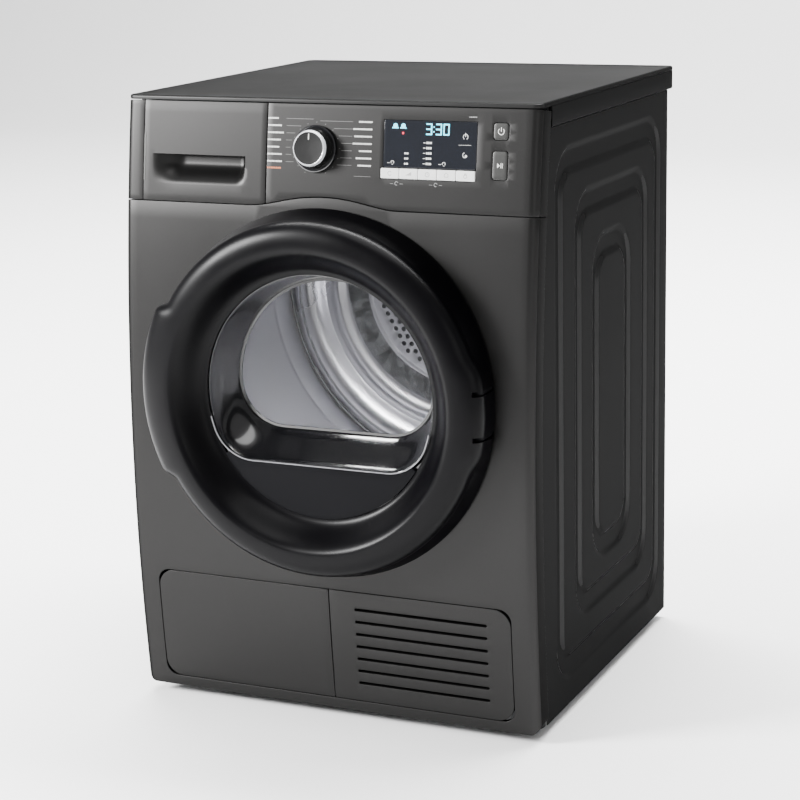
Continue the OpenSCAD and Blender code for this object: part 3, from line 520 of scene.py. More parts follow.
def seam(x):
    """Height of the seam under the controls, with a soft foot on each side of the arch."""
    arch = DOOR_Z + math.sqrt(max(ARCH_R ** 2 - x * x, 0)) if abs(x) < ARCH_R else DOOR_Z
    soft = 9.0
    d = abs(arch - SEAM_Z)
    lift = soft / 4 * (1 - d / soft) ** 2 if d < soft else 0
    return max(arch, SEAM_Z) + lift


def wrap_us(u0, u1, step=9.0):
    """Stations along the wrapped front, closer together round its corners."""
    stations = [FLAT + ARC * i / 6 for i in range(7)] + [WRAP_U]
    stations = [-s for s in reversed(stations)] + stations
    n = max(2, int((min(u1, FLAT) - max(u0, -FLAT)) / step))
    stations += list(np.linspace(max(u0, -FLAT), min(u1, FLAT), n + 1)) + [u0, u1]
    out = []
    for s in sorted(s for s in stations if u0 - 1e-6 <= s <= u1 + 1e-6):
        if not out or s - out[-1] > 0.05:
            out.append(float(s))
    return out


def bottom_edge(u):
    x = abs(wrapped(u, BOW_Z)[0])
    r, cx = 16.0, HALF_W + 1 - 16
    return BASE_Z + (r - math.sqrt(r * r - (x - cx) ** 2) if x > cx else 0)


def column(x, z0, z1, step=14.0):
    n = max(1, int(abs(z1 - z0) / step))
    return [(x, z0 + (z1 - z0) * i / n) for i in range(1, n)]


def make_front():
    us = wrap_us(-WRAP_U, WRAP_U)
    z_top = {u: seam(wrapped(u, BOW_Z)[0]) - SEAM_GAP / 2 for u in us}
    outer = [(u, bottom_edge(u)) for u in us]
    outer += column(WRAP_U, outer[-1][1], z_top[us[-1]])
    outer += [(u, z_top[u]) for u in reversed(us)]
    outer += column(-WRAP_U, z_top[us[0]], outer[0][1])
    loops = [outer, hole(circle(0, DOOR_Z, 190, 128)),
             hole(rounded(-266, 29, 266, 191, 18))]
    for z in HINGE_ARMS:
        loops.append(hole(rounded(HINGE[0] - 9, z - 4, HINGE[0] + 9, z + 4, 2)))
    loops.append(hole(rounded(-218, DOOR_Z - 22, -196, DOOR_Z + 22, 2)))
    bm = bmesh.new()
    plate(bm, loops, wrapped, 1.2, 0.5, us[1:-1], np.arange(BASE_Z + 12, 715, 22), rim=7)
    return piece("front_panel_skin", bm, "cabinet", "graphite_paint", paint, "front_panel")


make_front()

KNOB = (-12.0, 786.0)
DISPLAY = (85.0, 765.8, 215.0, 826.0)
OPTIONS = (82.0, 751.0, 214.0, 765.0)
OPTION_KEYS = 5
OPTION_PITCH = (OPTIONS[2] - OPTIONS[0]) / OPTION_KEYS
POWER = (237.0, 804.0, 258.0, 826.0)
START = (237.0, 754.0, 258.0, 791.0)
DRAWER_X = (-272.0, -84.0)


def make_controls():
    bm = bmesh.new()
    for u0, u1 in ((-WRAP_U, DRAWER_X[0]), (DRAWER_X[1], WRAP_U)):
        us = wrap_us(u0, u1)
        z_low = {u: seam(wrapped(u, BOW_Z)[0]) + SEAM_GAP / 2 for u in us}
        outer = [(u, z_low[u]) for u in us]
        outer += column(us[-1], z_low[us[-1]], PANEL_TOP)
        outer += [(u, PANEL_TOP) for u in reversed(us)]
        outer += column(us[0], PANEL_TOP, z_low[us[0]])
        loops = [outer]
        if u1 > 0:
            x0, z0, x1, z1 = OPTIONS
            dx0, _, dx1, dz1 = DISPLAY
            # One opening holds the display and the strip of keys below it
            loops.append(hole(densify([(x0, z0), (x1, z0), (x1, z1), (dx1, z1), (dx1, dz1),
                                       (dx0, dz1), (dx0, z1), (x0, z1)], 8)))
            loops += [hole(rounded(*POWER, 4)), hole(rounded(*START, 4))]
            loops.append(hole(circle(*KNOB, 20, 40)))
        plate(bm, loops, wrapped, 2.0, 0.6, us[1:-1], np.arange(718, PANEL_TOP - 3, 12), rim=9)
    piece("control_panel_skin", bm, "cabinet", "graphite_paint", paint, "control_panel")

    bm = bmesh.new()
    plate(bm, [rounded(DISPLAY[0] + 0.3, DISPLAY[1], DISPLAY[2] - 0.3, DISPLAY[3] - 0.3, 2.5)],
          lambda x, z, d=0: bow(x, z, d - 0.1), 2.4, 0.5, np.arange(90, 212, 12),
          np.arange(770, 824, 12))
    piece("display_glass", bm, "cabinet", "display_glass", display_glass, "display_window",
          "control_panel")


def key_cap(x0, z0, x1, z1, r, name, material, slot, crown=0.8):
    """Cushioned key that stands a little proud of the panel."""
    cx, cz = (x0 + x1) / 2, (z0 + z1) / 2
    outline = rounded(x0 + 0.45, z0 + 0.45, x1 - 0.45, z1 - 0.45, r, 6, 3)
    rings = [(0, 5.6), (0, 0.2), (0.12, -crown * 0.5), (0.5, -crown * 0.8), (1.2, -crown * 0.95)]
    made = [[bow(*p, d) for p in inset(outline, i)] for i, d in rings]
    inner = inset(outline, 1.2)
    for k in (0.7, 0.35, 0.05):
        made.append([bow(cx + (x - cx) * k, cz + (z - cz) * k, -crown) for x, z in inner])
    bm = bmesh.new()
    loft(bm, made, cap=True)
    return piece(name + "_cap", bm, name, slot, material, name)


def make_keys():
    key_cap(*POWER, 4, "power_button", key_paint, "graphite_paint")
    key_cap(*START, 4, "start_button", key_paint, "graphite_paint")
    x0, z0, _, z1 = OPTIONS
    for i in range(OPTION_KEYS):
        key_cap(x0 + i * OPTION_PITCH - 0.1, z0, x0 + (i + 1) * OPTION_PITCH + 0.1, z1,
                1.6 if i in (0, OPTION_KEYS - 1) else 0.9, f"option_button_{i + 1}",
                white_plastic, "white_plastic", 0.5)


def ink(name, shapes, depth, material, slot, body="cabinet", proud=0.08):
    """Printed marks, each a thin patch on the bowed front."""
    bm = bmesh.new()
    for loop in shapes:
        prism(bm, loop, bow, depth - proud, depth + 0.05)
    return piece(name, bm, body, slot, material)


def bar(x0, z0, x1, z1):
    return [(x0, z0), (x1, z0), (x1, z1), (x0, z1)]


def stroke(points, width):
    """Line of a given width through points, as one loop."""
    left, right = [], []
    for i, p in enumerate(points):
        a = points[max(i - 1, 0)]
        b = points[min(i + 1, len(points) - 1)]
        dx, dz = b[0] - a[0], b[1] - a[1]
        n = math.hypot(dx, dz)
        ox, oz = -dz / n * width / 2, dx / n * width / 2
        left.append((p[0] + ox, p[1] + oz))
        right.append((p[0] - ox, p[1] - oz))
    return right + left[::-1]


def ring_mark(cx, cz, r, width, a0=0, a1=360):
    """Arc of a ring, split so that each patch is simple."""
    n = max(2, int((a1 - a0) / 60))
    step = (a1 - a0) / n
    return [stroke(arc_points(cx, cz, r, a0 + i * step, a0 + (i + 1) * step, 6), width)
            for i in range(n)]


DIGITS = {"3": "abcdg", "0": "abcdef"}


def digit(char, x, z, w, h, t):
    """Strokes of a seven-bar digit."""
    m = z + h / 2
    g = 0.25
    bars = {"a": bar(x + g, z + h - t, x + w - g, z + h),
            "b": bar(x + w - t, m + g, x + w, z + h - g),
            "c": bar(x + w - t, z + g, x + w, m - g),
            "d": bar(x + g, z, x + w - g, z + t),
            "e": bar(x, z + g, x + t, m - g),
            "f": bar(x, m + g, x + t, z + h - g),
            "g": bar(x + g, m - t / 2, x + w - g, m + t / 2)}
    return [bars[k] for k in DIGITS[char]]


def dashes(x, width, z, way, seed):
    """Row of short dashes that runs one way from x, in place of a word."""
    made, end = [], x + way * width
    while way * (end - x) > 0:
        step = 1.3 + (seed + int(x * 3)) % 3 * 0.45
        tip = min(x + step, end) if way > 0 else max(x - step, end)
        made.append(bar(min(x, tip), z - 0.9, max(x, tip), z + 1.1))
        x += way * (step + 0.35)
    return made


ROW_PITCH = 9.3
LEFT_ROWS = (15, 20, 23, 19, 17, 21, 22)
RIGHT_ROWS = (19, 27, 25, 27, 18, 22, 19)
DIAL_R = 36.0
HAIRLINE = 0.35


def make_program_marks():
    """Rows of marks beside the knob, which stand for its program names, and their leads."""
    kx, kz = KNOB
    marks, leads = [], []
    for way, x, top, seed, rows in ((1, -83, 824, 7, LEFT_ROWS), (-1, 68, 822, 5, RIGHT_ROWS)):
        for i, width in enumerate(rows):
            z = top - i * ROW_PITCH
            marks += dashes(x, width, z, way, i * seed)
            dz = z - kz
            reach = math.sqrt(DIAL_R ** 2 - dz * dz) if abs(dz) < DIAL_R else 4
            outer = -58 + width * 0.1 if way > 0 else 40
            leads.append(stroke(sorted([(outer, z), (kx - way * (reach + 1), z)]), HAIRLINE))
    ink("program_marks", marks, 0, white_ink, "white_plastic")
    ink("program_mark_warm", [bar(-83 + k * 2.6, 758.6, -81 + k * 2.6, 760.8) for k in range(8)], 0,
        orange_ink, "white_plastic")
    leads.append(stroke([(44, 752.5), (68, 752.5)], HAIRLINE))
    ink("program_leads", leads, 0, faint_ink, "white_plastic")
    dots = []
    for i in range(15):
        a = math.radians(90 - (i - 7) * 22)
        dots.append(circle(kx + 34.2 * math.cos(a), kz + 34.2 * math.sin(a), 0.45, 10))
    ink("program_dots", dots, 0, faint_ink, "white_plastic")


def make_display_marks():
    """Lit time, two lit symbols, a small warm lamp and unlit symbols."""
    x, z = 144.0, 808.0
    lit = []
    for char, dx in (("3", 0), ("3", 13.5), ("0", 24)):
        lit += digit(char, x + dx, z, 8.5, 14.5, 1.7)
    lit += [bar(x + 10.2, z + low, x + 11.8, z + low + 1.6) for low in (3.4, 9.4)]
    for cx in (101.0, 112.0):
        lit += [circle(cx, 818.6, 3.1, 20), stroke([(cx - 4.4, 816), (cx + 4.4, 816)], 1.4)]
    glass = {"depth": -0.1, "slot": "display_glass", "proud": 0.05}
    ink("display_digits", lit, material=cyan_light, **glass)
    ink("display_lamp", [circle(112, 809.5, 1.6, 16)], material=red_light, **glass)

    small = []
    for i in range(5):
        z = 798 - i * 6.6
        small.append(bar(141, z - 0.4, 144, z + 0.3))
        small += [bar(x0, z - 1.3, x1, z + 1.3) for x0, x1 in ((145.2, 147), (147.6, 149.4), (150, 152.6))]
    for i in range(3):
        z = 784 - i * 6.6
        small += [bar(x0, z - 1.1, x1, z + 1.1) for x0, x1 in ((115, 117), (117.6, 120.4))]
    for cx in (96, 168):
        small += [stroke([(cx - 5, 771.4), (cx - 1, 771.4)], 0.5)]
        small += ring_mark(cx + 2.4, 772.2, 2.0, 0.7, -40, 220) + [bar(cx + 1.4, 769.4, cx + 3.4, 770)]
    small += ring_mark(199, 807, 3.2, 0.7, -60, 240) + [stroke([(199, 807), (199, 812)], 0.7)]
    small += [stroke([(190, 796.5), (207, 796.5)], HAIRLINE)]
    small += ring_mark(199, 784, 3.0, 0.7, 100, 350) + [circle(200.2, 783.0, 1.5, 12)]
    ink("display_symbols", small, material=white_ink, **glass)

    under = [bar(203 + k * 2.2, 831, 204.6 + k * 2.2, 832.6) for k in range(5)]
    for cx in (105.0, 160.0):
        under += [stroke([(cx + x0, 745), (cx + x0 + 4.5, 745)], 0.5) for x0 in (-9, 4.5)]
        under += ring_mark(cx, 745.4, 2.2, 0.8, 20, 300)
    ink("panel_symbols", under, 0, grey_ink, "white_plastic")


def middle(x0, z0, x1, z1):
    return (x0 + x1) / 2, (z0 + z1) / 2


def option_marks(i, x, z):
    """Generic symbol of one option key: ring, bars, clock, house or lock."""
    if i == 0:
        return ring_mark(x, z, 2.6, 0.6, 30, 330)
    if i == 1:
        return [bar(x - 3.5 + k * 1.6, z - 2, x - 2.5 + k * 1.6, z - 1.2 + k * 0.9) for k in range(5)]
    if i == 2:
        return ring_mark(x, z, 2.8, 0.6) + [stroke([(x, z + 1.6), (x, z), (x + 1.4, z)], 0.5)]
    if i == 3:
        walls = [(x - 2.6, z - 2.4), (x - 2.6, z + 1), (x, z + 3), (x + 2.6, z + 1), (x + 2.6, z - 2.4)]
        return [stroke(walls, 0.6), stroke([(x - 2.6, z - 2.2), (x + 2.6, z - 2.2)], 0.6)]
    roof = [(x - 1.6, z + 1.4), (x, z + 3.2), (x + 1.6, z + 1.4)]
    return ring_mark(x, z - 0.8, 2.2, 0.6) + [stroke(roof, 0.6)]


def make_key_marks():
    x, z = middle(*POWER)
    ink("power_symbol", ring_mark(x, z, 4.0, 0.9, 130, 410) + [stroke([(x, z), (x, z + 5)], 0.9)],
        -0.8, white_ink, "white_plastic", "power_button", proud=0.1)
    x, z = middle(*START)
    ink("start_symbol", [[(x - 3.6, z - 3), (x + 0.2, z), (x - 3.6, z + 3)],
                         bar(x + 1, z - 3, x + 1.9, z + 3), bar(x + 2.9, z - 3, x + 3.8, z + 3)],
        -0.8, white_ink, "white_plastic", "start_button", proud=0.1)
    x, z = middle(*OPTIONS)
    for i in range(OPTION_KEYS):
        ink(f"option_symbol_{i + 1}", option_marks(i, x + (i - 2) * OPTION_PITCH, z), -0.5, grey_ink,
            "dark_plastic", f"option_button_{i + 1}", proud=0.06)


make_controls()
make_keys()
make_program_marks()
make_display_marks()
make_key_marks()


def knob_frame(x, z):
    """Matrix of a place on the bow, with its own -y as the outward normal."""
    lean = math.asin((z - BOW_Z) / BOW_R)
    return Matrix.Translation(Vector(bow(x, z)) * MM) @ Matrix.Rotation(-lean, 4, "X")


def make_knob():
    r = 31.0
    at_knob = knob_frame(*KNOB)
    body = [(0.01, -22.6), (19, -22.8), (20.6, -22.9), (21.6, -22.2), (22.3, -21), (23.4, -17),
            (25.0, -11), (26.6, -6.4), (27.0, -5.0), (27.0, -1.1), (0.01, -1.1)]
    bm = bmesh.new()
    lathe(bm, body, (0, 0, 0), n=96, closed=False)
    bm.transform(at_knob)
    piece("knob_body", bm, "program_knob", "gloss_black", knob_black, "program_knob")
    collar = [(26.9, -4.6), (r - 1.6, -5.4), (r - 0.4, -4.8), (r, -3.4), (r, -1.2), (r - 1.4, -0.7),
              (26.9, -0.9)]
    bm = bmesh.new()
    lathe(bm, collar, (0, 0, 0), n=96)
    bm.transform(at_knob)
    piece("knob_collar", bm, "program_knob", "gloss_black", gloss_black)
    trim = [(21.7, -22.55), (22.6, -21.6), (23.3, -19.6), (23.75, -18.2), (23.2, -18.0), (22.5, -19.4),
            (21.6, -21.4), (21.0, -22.4)]
    bm = bmesh.new()
    lathe(bm, [(a + 0.12, b - 0.1) for a, b in trim], (0, 0, 0), n=96)
    bm.transform(at_knob)
    piece("knob_trim", bm, "program_knob", "zinc_steel", chrome)
    bm = bmesh.new()
    prism(bm, rounded(-0.6, 11, 0.6, 19, 0.5, 3), facing(-22.85), -0.12, 0.2)
    bm.transform(at_knob)
    piece("knob_pointer", bm, "program_knob", "white_plastic", white_ink)


make_knob()


def make_drawer():
    x0, x1 = DRAWER_X[0] + 0.7, DRAWER_X[1] - 1.0
    top = PANEL_TOP
    xs = list(np.linspace(x0, x1, 22))
    outer = [(x, seam(x) + SEAM_GAP / 2) for x in xs] + column(x1, seam(x1), top)
    outer += [(x, top) for x in reversed(xs)] + column(x0, top, seam(x0))
    gx0, gz0, gx1, gz1 = -258.0, 733.0, -116.0, 773.0
    cols = [float(x) for x in np.linspace(gx0, gx1, 48)]
    heights = [float(z) for z in np.linspace(gz0, gz1, 18)]
    mouth = [(x, gz0) for x in cols] + [(gx1, z) for z in heights[1:]]
    mouth += [(x, gz1) for x in cols[-2::-1]] + [(gx0, z) for z in heights[-2:0:-1]]
    bm = bmesh.new()
    plate(bm, [outer], bow, 2.0, 0.6, xs[1:-1], np.arange(720, top - 4, 12), rim=9,
          joined=[hole(mouth)])
    # Scoop: gentle on the left and below, with a pocket behind its upper lip
    deep = 20.5
    rows = [(z, deep * smooth((z - gz0) / 30)) for z in heights]
    rows[-1] = (gz1, deep)
    rows += [(gz1 + 5, deep - 0.5), (gz1 + 9, deep - 3), (gz1 + 10, deep - 8), (gz1 + 9, 9.5),
             (gz1 + 5, 7.4), (gz1 + 1.4, 6.4), (gz1 + 0.2, 4.6), (gz1 + 0.05, 1.2), (gz1, 0)]
    rings = []
    for z, d in rows:
        side = [smooth((x - gx0) / 40) * smooth((gx1 - x) / 14) for x in cols]
        rings.append([bow(x, z if z <= gz1 else gz1 + (z - gz1) * k, d * k) for x, k in zip(cols, side)])
    loft(bm, rings, closed=False)
    piece("drawer_skin", bm, "water_drawer", "graphite_paint", paint, "drawer_front")
    # Painted highlight: a strip of lighter paint on the drawer's left edge, standing in for light caught by
    # that edge
    bm = bmesh.new()
    prism(bm, rounded(-271, 737, -268.6, 800, 1.0, 4), bow, -0.35, 0.3)
    piece("drawer_edge_painted_highlight", bm, "water_drawer", "graphite_paint", key_paint)
    # Frame that joins the front and the tank
    bm = bmesh.new()
    tank_front = node_box("water_tank")[0][1]
    for x in (-250, -160):
        block(bm, (x, bow(x, 800)[1] + 1.6, 797), (x + 26, tank_front + 0.5, 803), 0.8)
    piece("drawer_arms", bm, "water_drawer", "graphite_paint", dark_plastic)


make_drawer()


# ---- Lower panels ----

INSET = (266.0, 29.0, 191.0)
INSET_GAP = 1.0


def inset_outline(x0, x1):
    """Outline of one of the two plates in the lower opening."""
    r = 24.0
    low, high = INSET[1] + INSET_GAP, INSET[2] - INSET_GAP
    if x0 < -100:
        corners = arc_points(x0 + r, high - r, r, 90, 180, 10) + arc_points(x0 + r, low + r, r, 180, 270, 10)
        return densify([(x1, low), (x1, high)] + corners, 10)
    corners = arc_points(x1 - r, low + r, r, -90, 0, 10) + arc_points(x1 - r, high - r, r, 0, 90, 10)
    return densify([(x0, low)] + corners + [(x0, high)], 10)


def make_lower():
    xs = np.arange(-255, 260, 16)
    zs = np.arange(40, 186, 12)
    flap = inset_outline(-INSET[0] + INSET_GAP, -0.6)
    bm = bmesh.new()
    plate(bm, [flap], bow, 1.8, 0.6, xs, zs)
    _, axis_y, axis_z = frame_joint("lower_flap_hinge")
    for x in (-232, -40):
        pin = [(0, -9), (1.2, -9), (1.2, 9), (0, 9)]
        lathe(bm, pin, (x, axis_y, axis_z), axis="x", n=20, closed=False)
        for lug in (x - 7.5, x + 7.5):
            block(bm, (lug - 1.5, axis_y - 2, axis_z - 2.2), (lug + 1.5, axis_y + 2.3, axis_z + 4), 0.6)
    piece("flap_skin", bm, "lower_flap", "graphite_paint", paint, "heat_exchanger_flap")
    slot_zs = [55 + i * 18.0 for i in range(7)]
    slots = [hole(rounded(38, z, 231, z + 4, 1.9, 5, 9)) for z in slot_zs]
    vent = inset_outline(0.6, INSET[0] - INSET_GAP)
    bm = bmesh.new()
    plate(bm, [vent] + slots, bow, 2.2, 0.6, xs, zs, rim=7.6)
    # Slanted vanes behind the slots
    for z in slot_zs:
        rings = []
        for x in (36.0, 100.0, 170.0, 233.0):
            rings.append([bow(x, z + dz, d) for dz, d in ((6.4, 2), (7.4, 2), (-1.6, 9), (-2.6, 9))])
        loft(bm, rings, cap=True)
    piece("vent_skin", bm, "cabinet", "graphite_paint", paint, "grille_panel")


make_lower()


# ---- Worktop ----

def make_worktop():
    y0, y1 = top_low[1], top_high[1]
    z1 = top_high[2]
    slab = z1 - 6.0

    def outline(d, r, z):
        return plan(-HALF_W + d, y0 + d, HALF_W - d, y1 - d, r, z)

    e = 2.6
    rings = [outline(8, 8, slab + 0.1), outline(0.5, CORNER_R, slab + 0.1), outline(0, CORNER_R, slab + 0.7)]
    for t in range(6):
        a = math.pi / 2 * t / 5
        d = e * (1 - math.cos(a))
        rings.append(outline(d, CORNER_R - d, z1 - e * (1 - math.sin(a))))
    # The top is very slightly dished inside its rim
    for d, dz in ((9, 0.0), (11, -0.35), (13, -0.5), (60, -0.5), (200, -0.5)):
        rings.append(outline(d, max(CORNER_R - d * 0.5, 4), z1 + dz))
    bm = bmesh.new()
    loft(bm, rings, cap=True)

    # Rim round the sides and the back
    rim_y0, rim_z0 = -196.0, top_low[2]
    rings = []
    for d, z in ((5.0, rim_z0 + 0.2), (1.2, rim_z0), (0.3, rim_z0 + 0.7), (0, rim_z0 + 2), (0, slab - 1.2),
                 (0.4, slab - 0.4), (3.0, slab + 0.4), (5.0, slab + 0.4)):
        r = CORNER_R - d * 0.6
        half = [(HALF_W - d, rim_y0)]
        half += [(HALF_W - d, y) for y in np.linspace(rim_y0 + 20, y1 - CORNER_R - 20, 10)]
        half += arc_points(HALF_W - d - r, y1 - d - r, r, 0, 90, 8)
        path = half + [(x, y1 - d) for x in np.linspace(HALF_W - 40, -HALF_W + 40, 14)]
        path += [(-x, y) for x, y in reversed(half)]
        rings.append([(x, y, z) for x, y in path])
    loft(bm, [list(ring) for ring in zip(*rings)], cap=True)
    # The worktop wears the lit copy of the paint, whose tone is painted light
    piece("worktop_skin", bm, "cabinet", "graphite_paint", side_top_lit_copy, "worktop")
    bm = bmesh.new()
    block(bm, (-HALF_W + 6, rim_y0, slab - 12), (HALF_W - 6, y1 - 6, slab + 0.05), 1)
    piece("worktop_core", bm, "cabinet", "graphite_paint", dark_plastic)


make_worktop()


# ---- Side panels ----

BEADS = [(-180, 52, 268, 786, 60, 28, 37), (-103, 122, 207, 721, 55, 24, 36),
         (-34, 185, 130, 652, 60, 26, 36)]


def box_distance(y, z, y0, z0, y1, z1, r):
    """Signed distance from a rounded rectangle."""
    qy = np.abs(y - (y0 + y1) / 2) - (y1 - y0) / 2 + r
    qz = np.abs(z - (z0 + z1) / 2) - (z1 - z0) / 2 + r
    return np.hypot(np.maximum(qy, 0), np.maximum(qz, 0)) + np.minimum(np.maximum(qy, qz), 0) - r


def bead_depth(y, z):
    depth = np.zeros_like(y)
    for y0, z0, y1, z1, r, iy, iz in BEADS:
        outer = box_distance(y, z, y0, z0, y1, z1, r)
        inner = box_distance(y, z, y0 + iy, z0 + iz, y1 - iy, z1 - iz, max(r - iy, 14))
        t = np.clip(-np.maximum(outer, -inner) / 8.5 + 0.12, 0, 1)
        depth = np.maximum(depth, 4.0 * t * t * (3 - 2 * t))
    return depth


def make_side(side, name, node):
    low, high = side_low, side_high
    z0, z1 = low[2] + 0.5, high[2]
    x_face = high[0]
    y_rear = high[1]
    ys = np.arange(-238.0, y_rear - 5.9, 3.0)
    zs = np.linspace(z0, z1, 267)
    y_grid, z_grid = np.meshgrid(ys, zs)
    front = np.array([BOW_CY - math.sqrt((BOW_R - WRAP - 0.7) ** 2 - (z - BOW_Z) ** 2) for z in zs])
    y_grid = np.maximum(y_grid, front[:, None])
    # The first stations slide with the bowed front edge
    lead = 8
    for k in range(lead):
        y_grid[:, k] = front + (ys[lead] - front) * k / lead
    depth = bead_depth(y_grid, z_grid)
    bm = bmesh.new()
    columns = []
    sheet = 1.2
    for j in range(len(ys)):
        columns.append([(side * (x_face - depth[i, j]), y_grid[i, j], zs[i]) for i in range(len(zs))])
    # Rolled rear corner and its flange
    roll = 6.0
    for t in range(1, 7):
        a = math.pi / 2 * t / 6
        columns.append([(side * (x_face - roll * (1 - math.cos(a))), y_rear - roll + roll * math.sin(a), z)
                        for z in zs])
    columns.append([(side * (x_face - 20), y_rear, z) for z in zs])
    columns.append([(side * (x_face - 20), y_rear - sheet, z) for z in zs])
    columns.append([(side * (x_face - roll), y_rear - sheet, z) for z in zs])
    columns.append([(side * (x_face - sheet), y_rear - roll, z) for z in zs])
    # Inner face, coarser, follows the same embossing
    for j in list(range(len(ys) - 2, 0, -3)) + [0]:
        columns.append([(side * (x_face - depth[i, j] - sheet), y_grid[i, j], zs[i])
                        for i in range(len(zs))])
    loft(bm, columns, closed=False, loop_back=True)
    bmesh.ops.holes_fill(bm, edges=[e for e in bm.edges if e.is_boundary], sides=0)
    # The side wears the lit copy of the paint, whose tone is painted light
    return piece(name, bm, "cabinet", "graphite_paint", side_top_lit_copy, node, sharp=50)


make_side(1, "right_side_skin", "right_side_panel")
make_side(-1, "left_side_skin", "left_side_panel")


# ---- Door ----

def d_loop(r, chord, corner, grow=0.0, lift=0.0):
    """Circle with a flat bottom and rounded corners, its centre lifted above the door's."""
    r, chord, c = r + grow, chord - grow, corner + grow
    top = DOOR_Z + lift
    h = top - chord
    xf = math.sqrt((r - c) ** 2 - (h - c) ** 2)
    turn = math.degrees(math.atan2(-(h - c), xf))
    zc = chord + c
    loop = [(-xf + 2 * xf * i / 16, chord) for i in range(16)]
    loop += arc_points(xf, zc, c, -90, turn, 10)[:-1]
    loop += arc_points(0, top, r, turn, 180 - turn, 72)[:-1]
    loop += arc_points(-xf, zc, c, 180 - turn, 270, 10)[:-1]
    return loop


def crescent_loop(r, chord, corner):
    """What lies between a circle and the flat-bottomed loop inside it, without its thin tips."""
    upper = [p for p in d_loop(165, chord, corner, 0.4)
             if p[1] < DOOR_Z and r - math.hypot(p[0], p[1] - DOOR_Z) > 5]
    upper.sort(key=lambda p: -p[0])
    ends = [math.degrees(math.atan2(p[1] - DOOR_Z, p[0])) % 360 for p in (upper[-1], upper[0])]
    return arc_points(0, DOOR_Z, r, ends[0], ends[1], 48) + upper


def mix(a, b, t):
    return a + (b - a) * t


def ring_section(angle):
    """Outline of the door ring, from the rear outside over its crest and back inside."""
    t = math.radians(angle)
    grip = 1 - smooth((abs(angle - 180) - 26) / 5)
    z = DOOR_Z + DOOR_R * math.sin(t)
    rear = bow(0, z, -4.5)[1]
    wide = smooth((20 - min(angle, 360 - angle)) / 8)
    edge = mix(240.5, DOOR_R, wide)
    plain = [(mix(DOOR_R + 1.5, edge, k), mix(rear, -300, k)) for k in (0, 0.3, 0.6, 0.85, 0.97, 1)]
    held = [(216.5, rear), (219, -296), (236, -297), (250, -297.5), (254, -301), (253, -306)]
    rows = [(mix(a[0], b[0], grip), mix(a[1], b[1], grip)) for a, b in zip(plain, held)]
    rise, half = mix(-300, -306, grip), mix(edge - CREST_R, 46, grip)
    power = mix(0.8, 1.0, grip)
    for k in range(1, 13):
        a = math.pi / 2 * k / 12
        rows.append((CREST_R + half * abs(math.cos(a)) ** power,
                     rise + (DOOR_Y - rise) * math.sin(a) ** power))
    for k in range(1, 15):
        s = k / 14
        rows.append((CREST_R - 41 * s, DOOR_Y + 20 * (1 - math.cos(math.pi * s))))
    rows += [(RING_IN + 0.3, -283), (RING_IN + 1.2, -282), (RING_IN + 3, -282)]
    for k in range(5, -1, -1):
        s = k / 6
        rows.append((CREST_R - 38 * s, DOOR_Y + 3 + 19 * (1 - math.cos(math.pi * s))))
    for k in range(5, -1, -1):
        a = math.pi / 2 * k / 6
        rows.append((CREST_R + (half - mix(3, 9, grip)) * math.cos(a),
                     rise + (DOOR_Y + 3 - rise) * math.sin(a)))
    plain = [(mix(edge, DOOR_R + 1.5, k) - 3, mix(-299, rear, k)) for k in (0.1, 0.4, 0.75, 1)]
    held = [(238, -301.5), (224, -300.5), (215, -298), (213.5, rear)]
    rows += [(mix(a[0], b[0], grip), mix(a[1], b[1], grip)) for a, b in zip(plain, held)]
    return rows


def carve(obj, *boxes):
    """Cuts boxes out of a closed piece."""
    for low, high in boxes:
        bm = bmesh.new()
        block(bm, low, high, 0.4)
        mesh = bpy.data.meshes.new("cutter")
        bmesh.ops.recalc_face_normals(bm, faces=bm.faces)
        bm.to_mesh(mesh)
        bm.free()
        cutter = bpy.data.objects.new("cutter", mesh)
        bpy.context.scene.collection.objects.link(cutter)
        cut = obj.modifiers.new("cut", "BOOLEAN")
        cut.object = cutter
        cut.solver = "EXACT"
        bpy.context.view_layer.update()
        done = bpy.data.meshes.new_from_object(obj.evaluated_get(bpy.context.evaluated_depsgraph_get()))
        obj.modifiers.remove(cut)
        obj.data = done
        bpy.data.objects.remove(cutter)
        bpy.data.meshes.remove(mesh)


def make_ring():
    angles = [i * 2.0 for i in range(180)]
    angles += [a + 1 for a in angles if 22 < abs(a + 1 - 180) < 34]
    sections = {a: ring_section(a) for a in sorted(angles)}
    rings = []
    for k in range(len(sections[0])):
        ring = []
        for a, section in sections.items():
            r, y = section[k]
            t = math.radians(a)
            ring.append((r * math.cos(t), y, DOOR_Z + r * math.sin(t)))
        rings.append(ring)
    bm = bmesh.new()
    loft(bm, rings, loop_back=True)
    ring = piece("door_ring_shell", bm, "door", "gloss_black", satin_black, "door_ring")
    for z in HINGE_ARMS:
        carve(ring, ((HINGE[0] - 10, -308.5, z - 3.4), (HINGE[0] + 30, -260, z + 3.4)),
              ((HINGE[0] - 1.0, -340, z - 3.4), (HINGE[0] + 30, -307, z + 3.4)))
    bm = bmesh.new()
    lathe(bm, [(7.5, -26), (7.5, 26), (6.6, 26.6), (2.2, 26.6), (2.2, -26.6), (6.6, -26.6)],
          (*HINGE, DOOR_Z), axis="z", n=32)
    block(bm, (220, -312, DOOR_Z - 25), (232, -294, DOOR_Z + 25), 1.5)
    piece("door_knuckle", bm, "door", "gloss_black", dark_plastic)


make_ring()
FUNNEL_Y = -281.6
WINDOW_Y = -230.0
PLATE_Y = DOOR_Y + 38


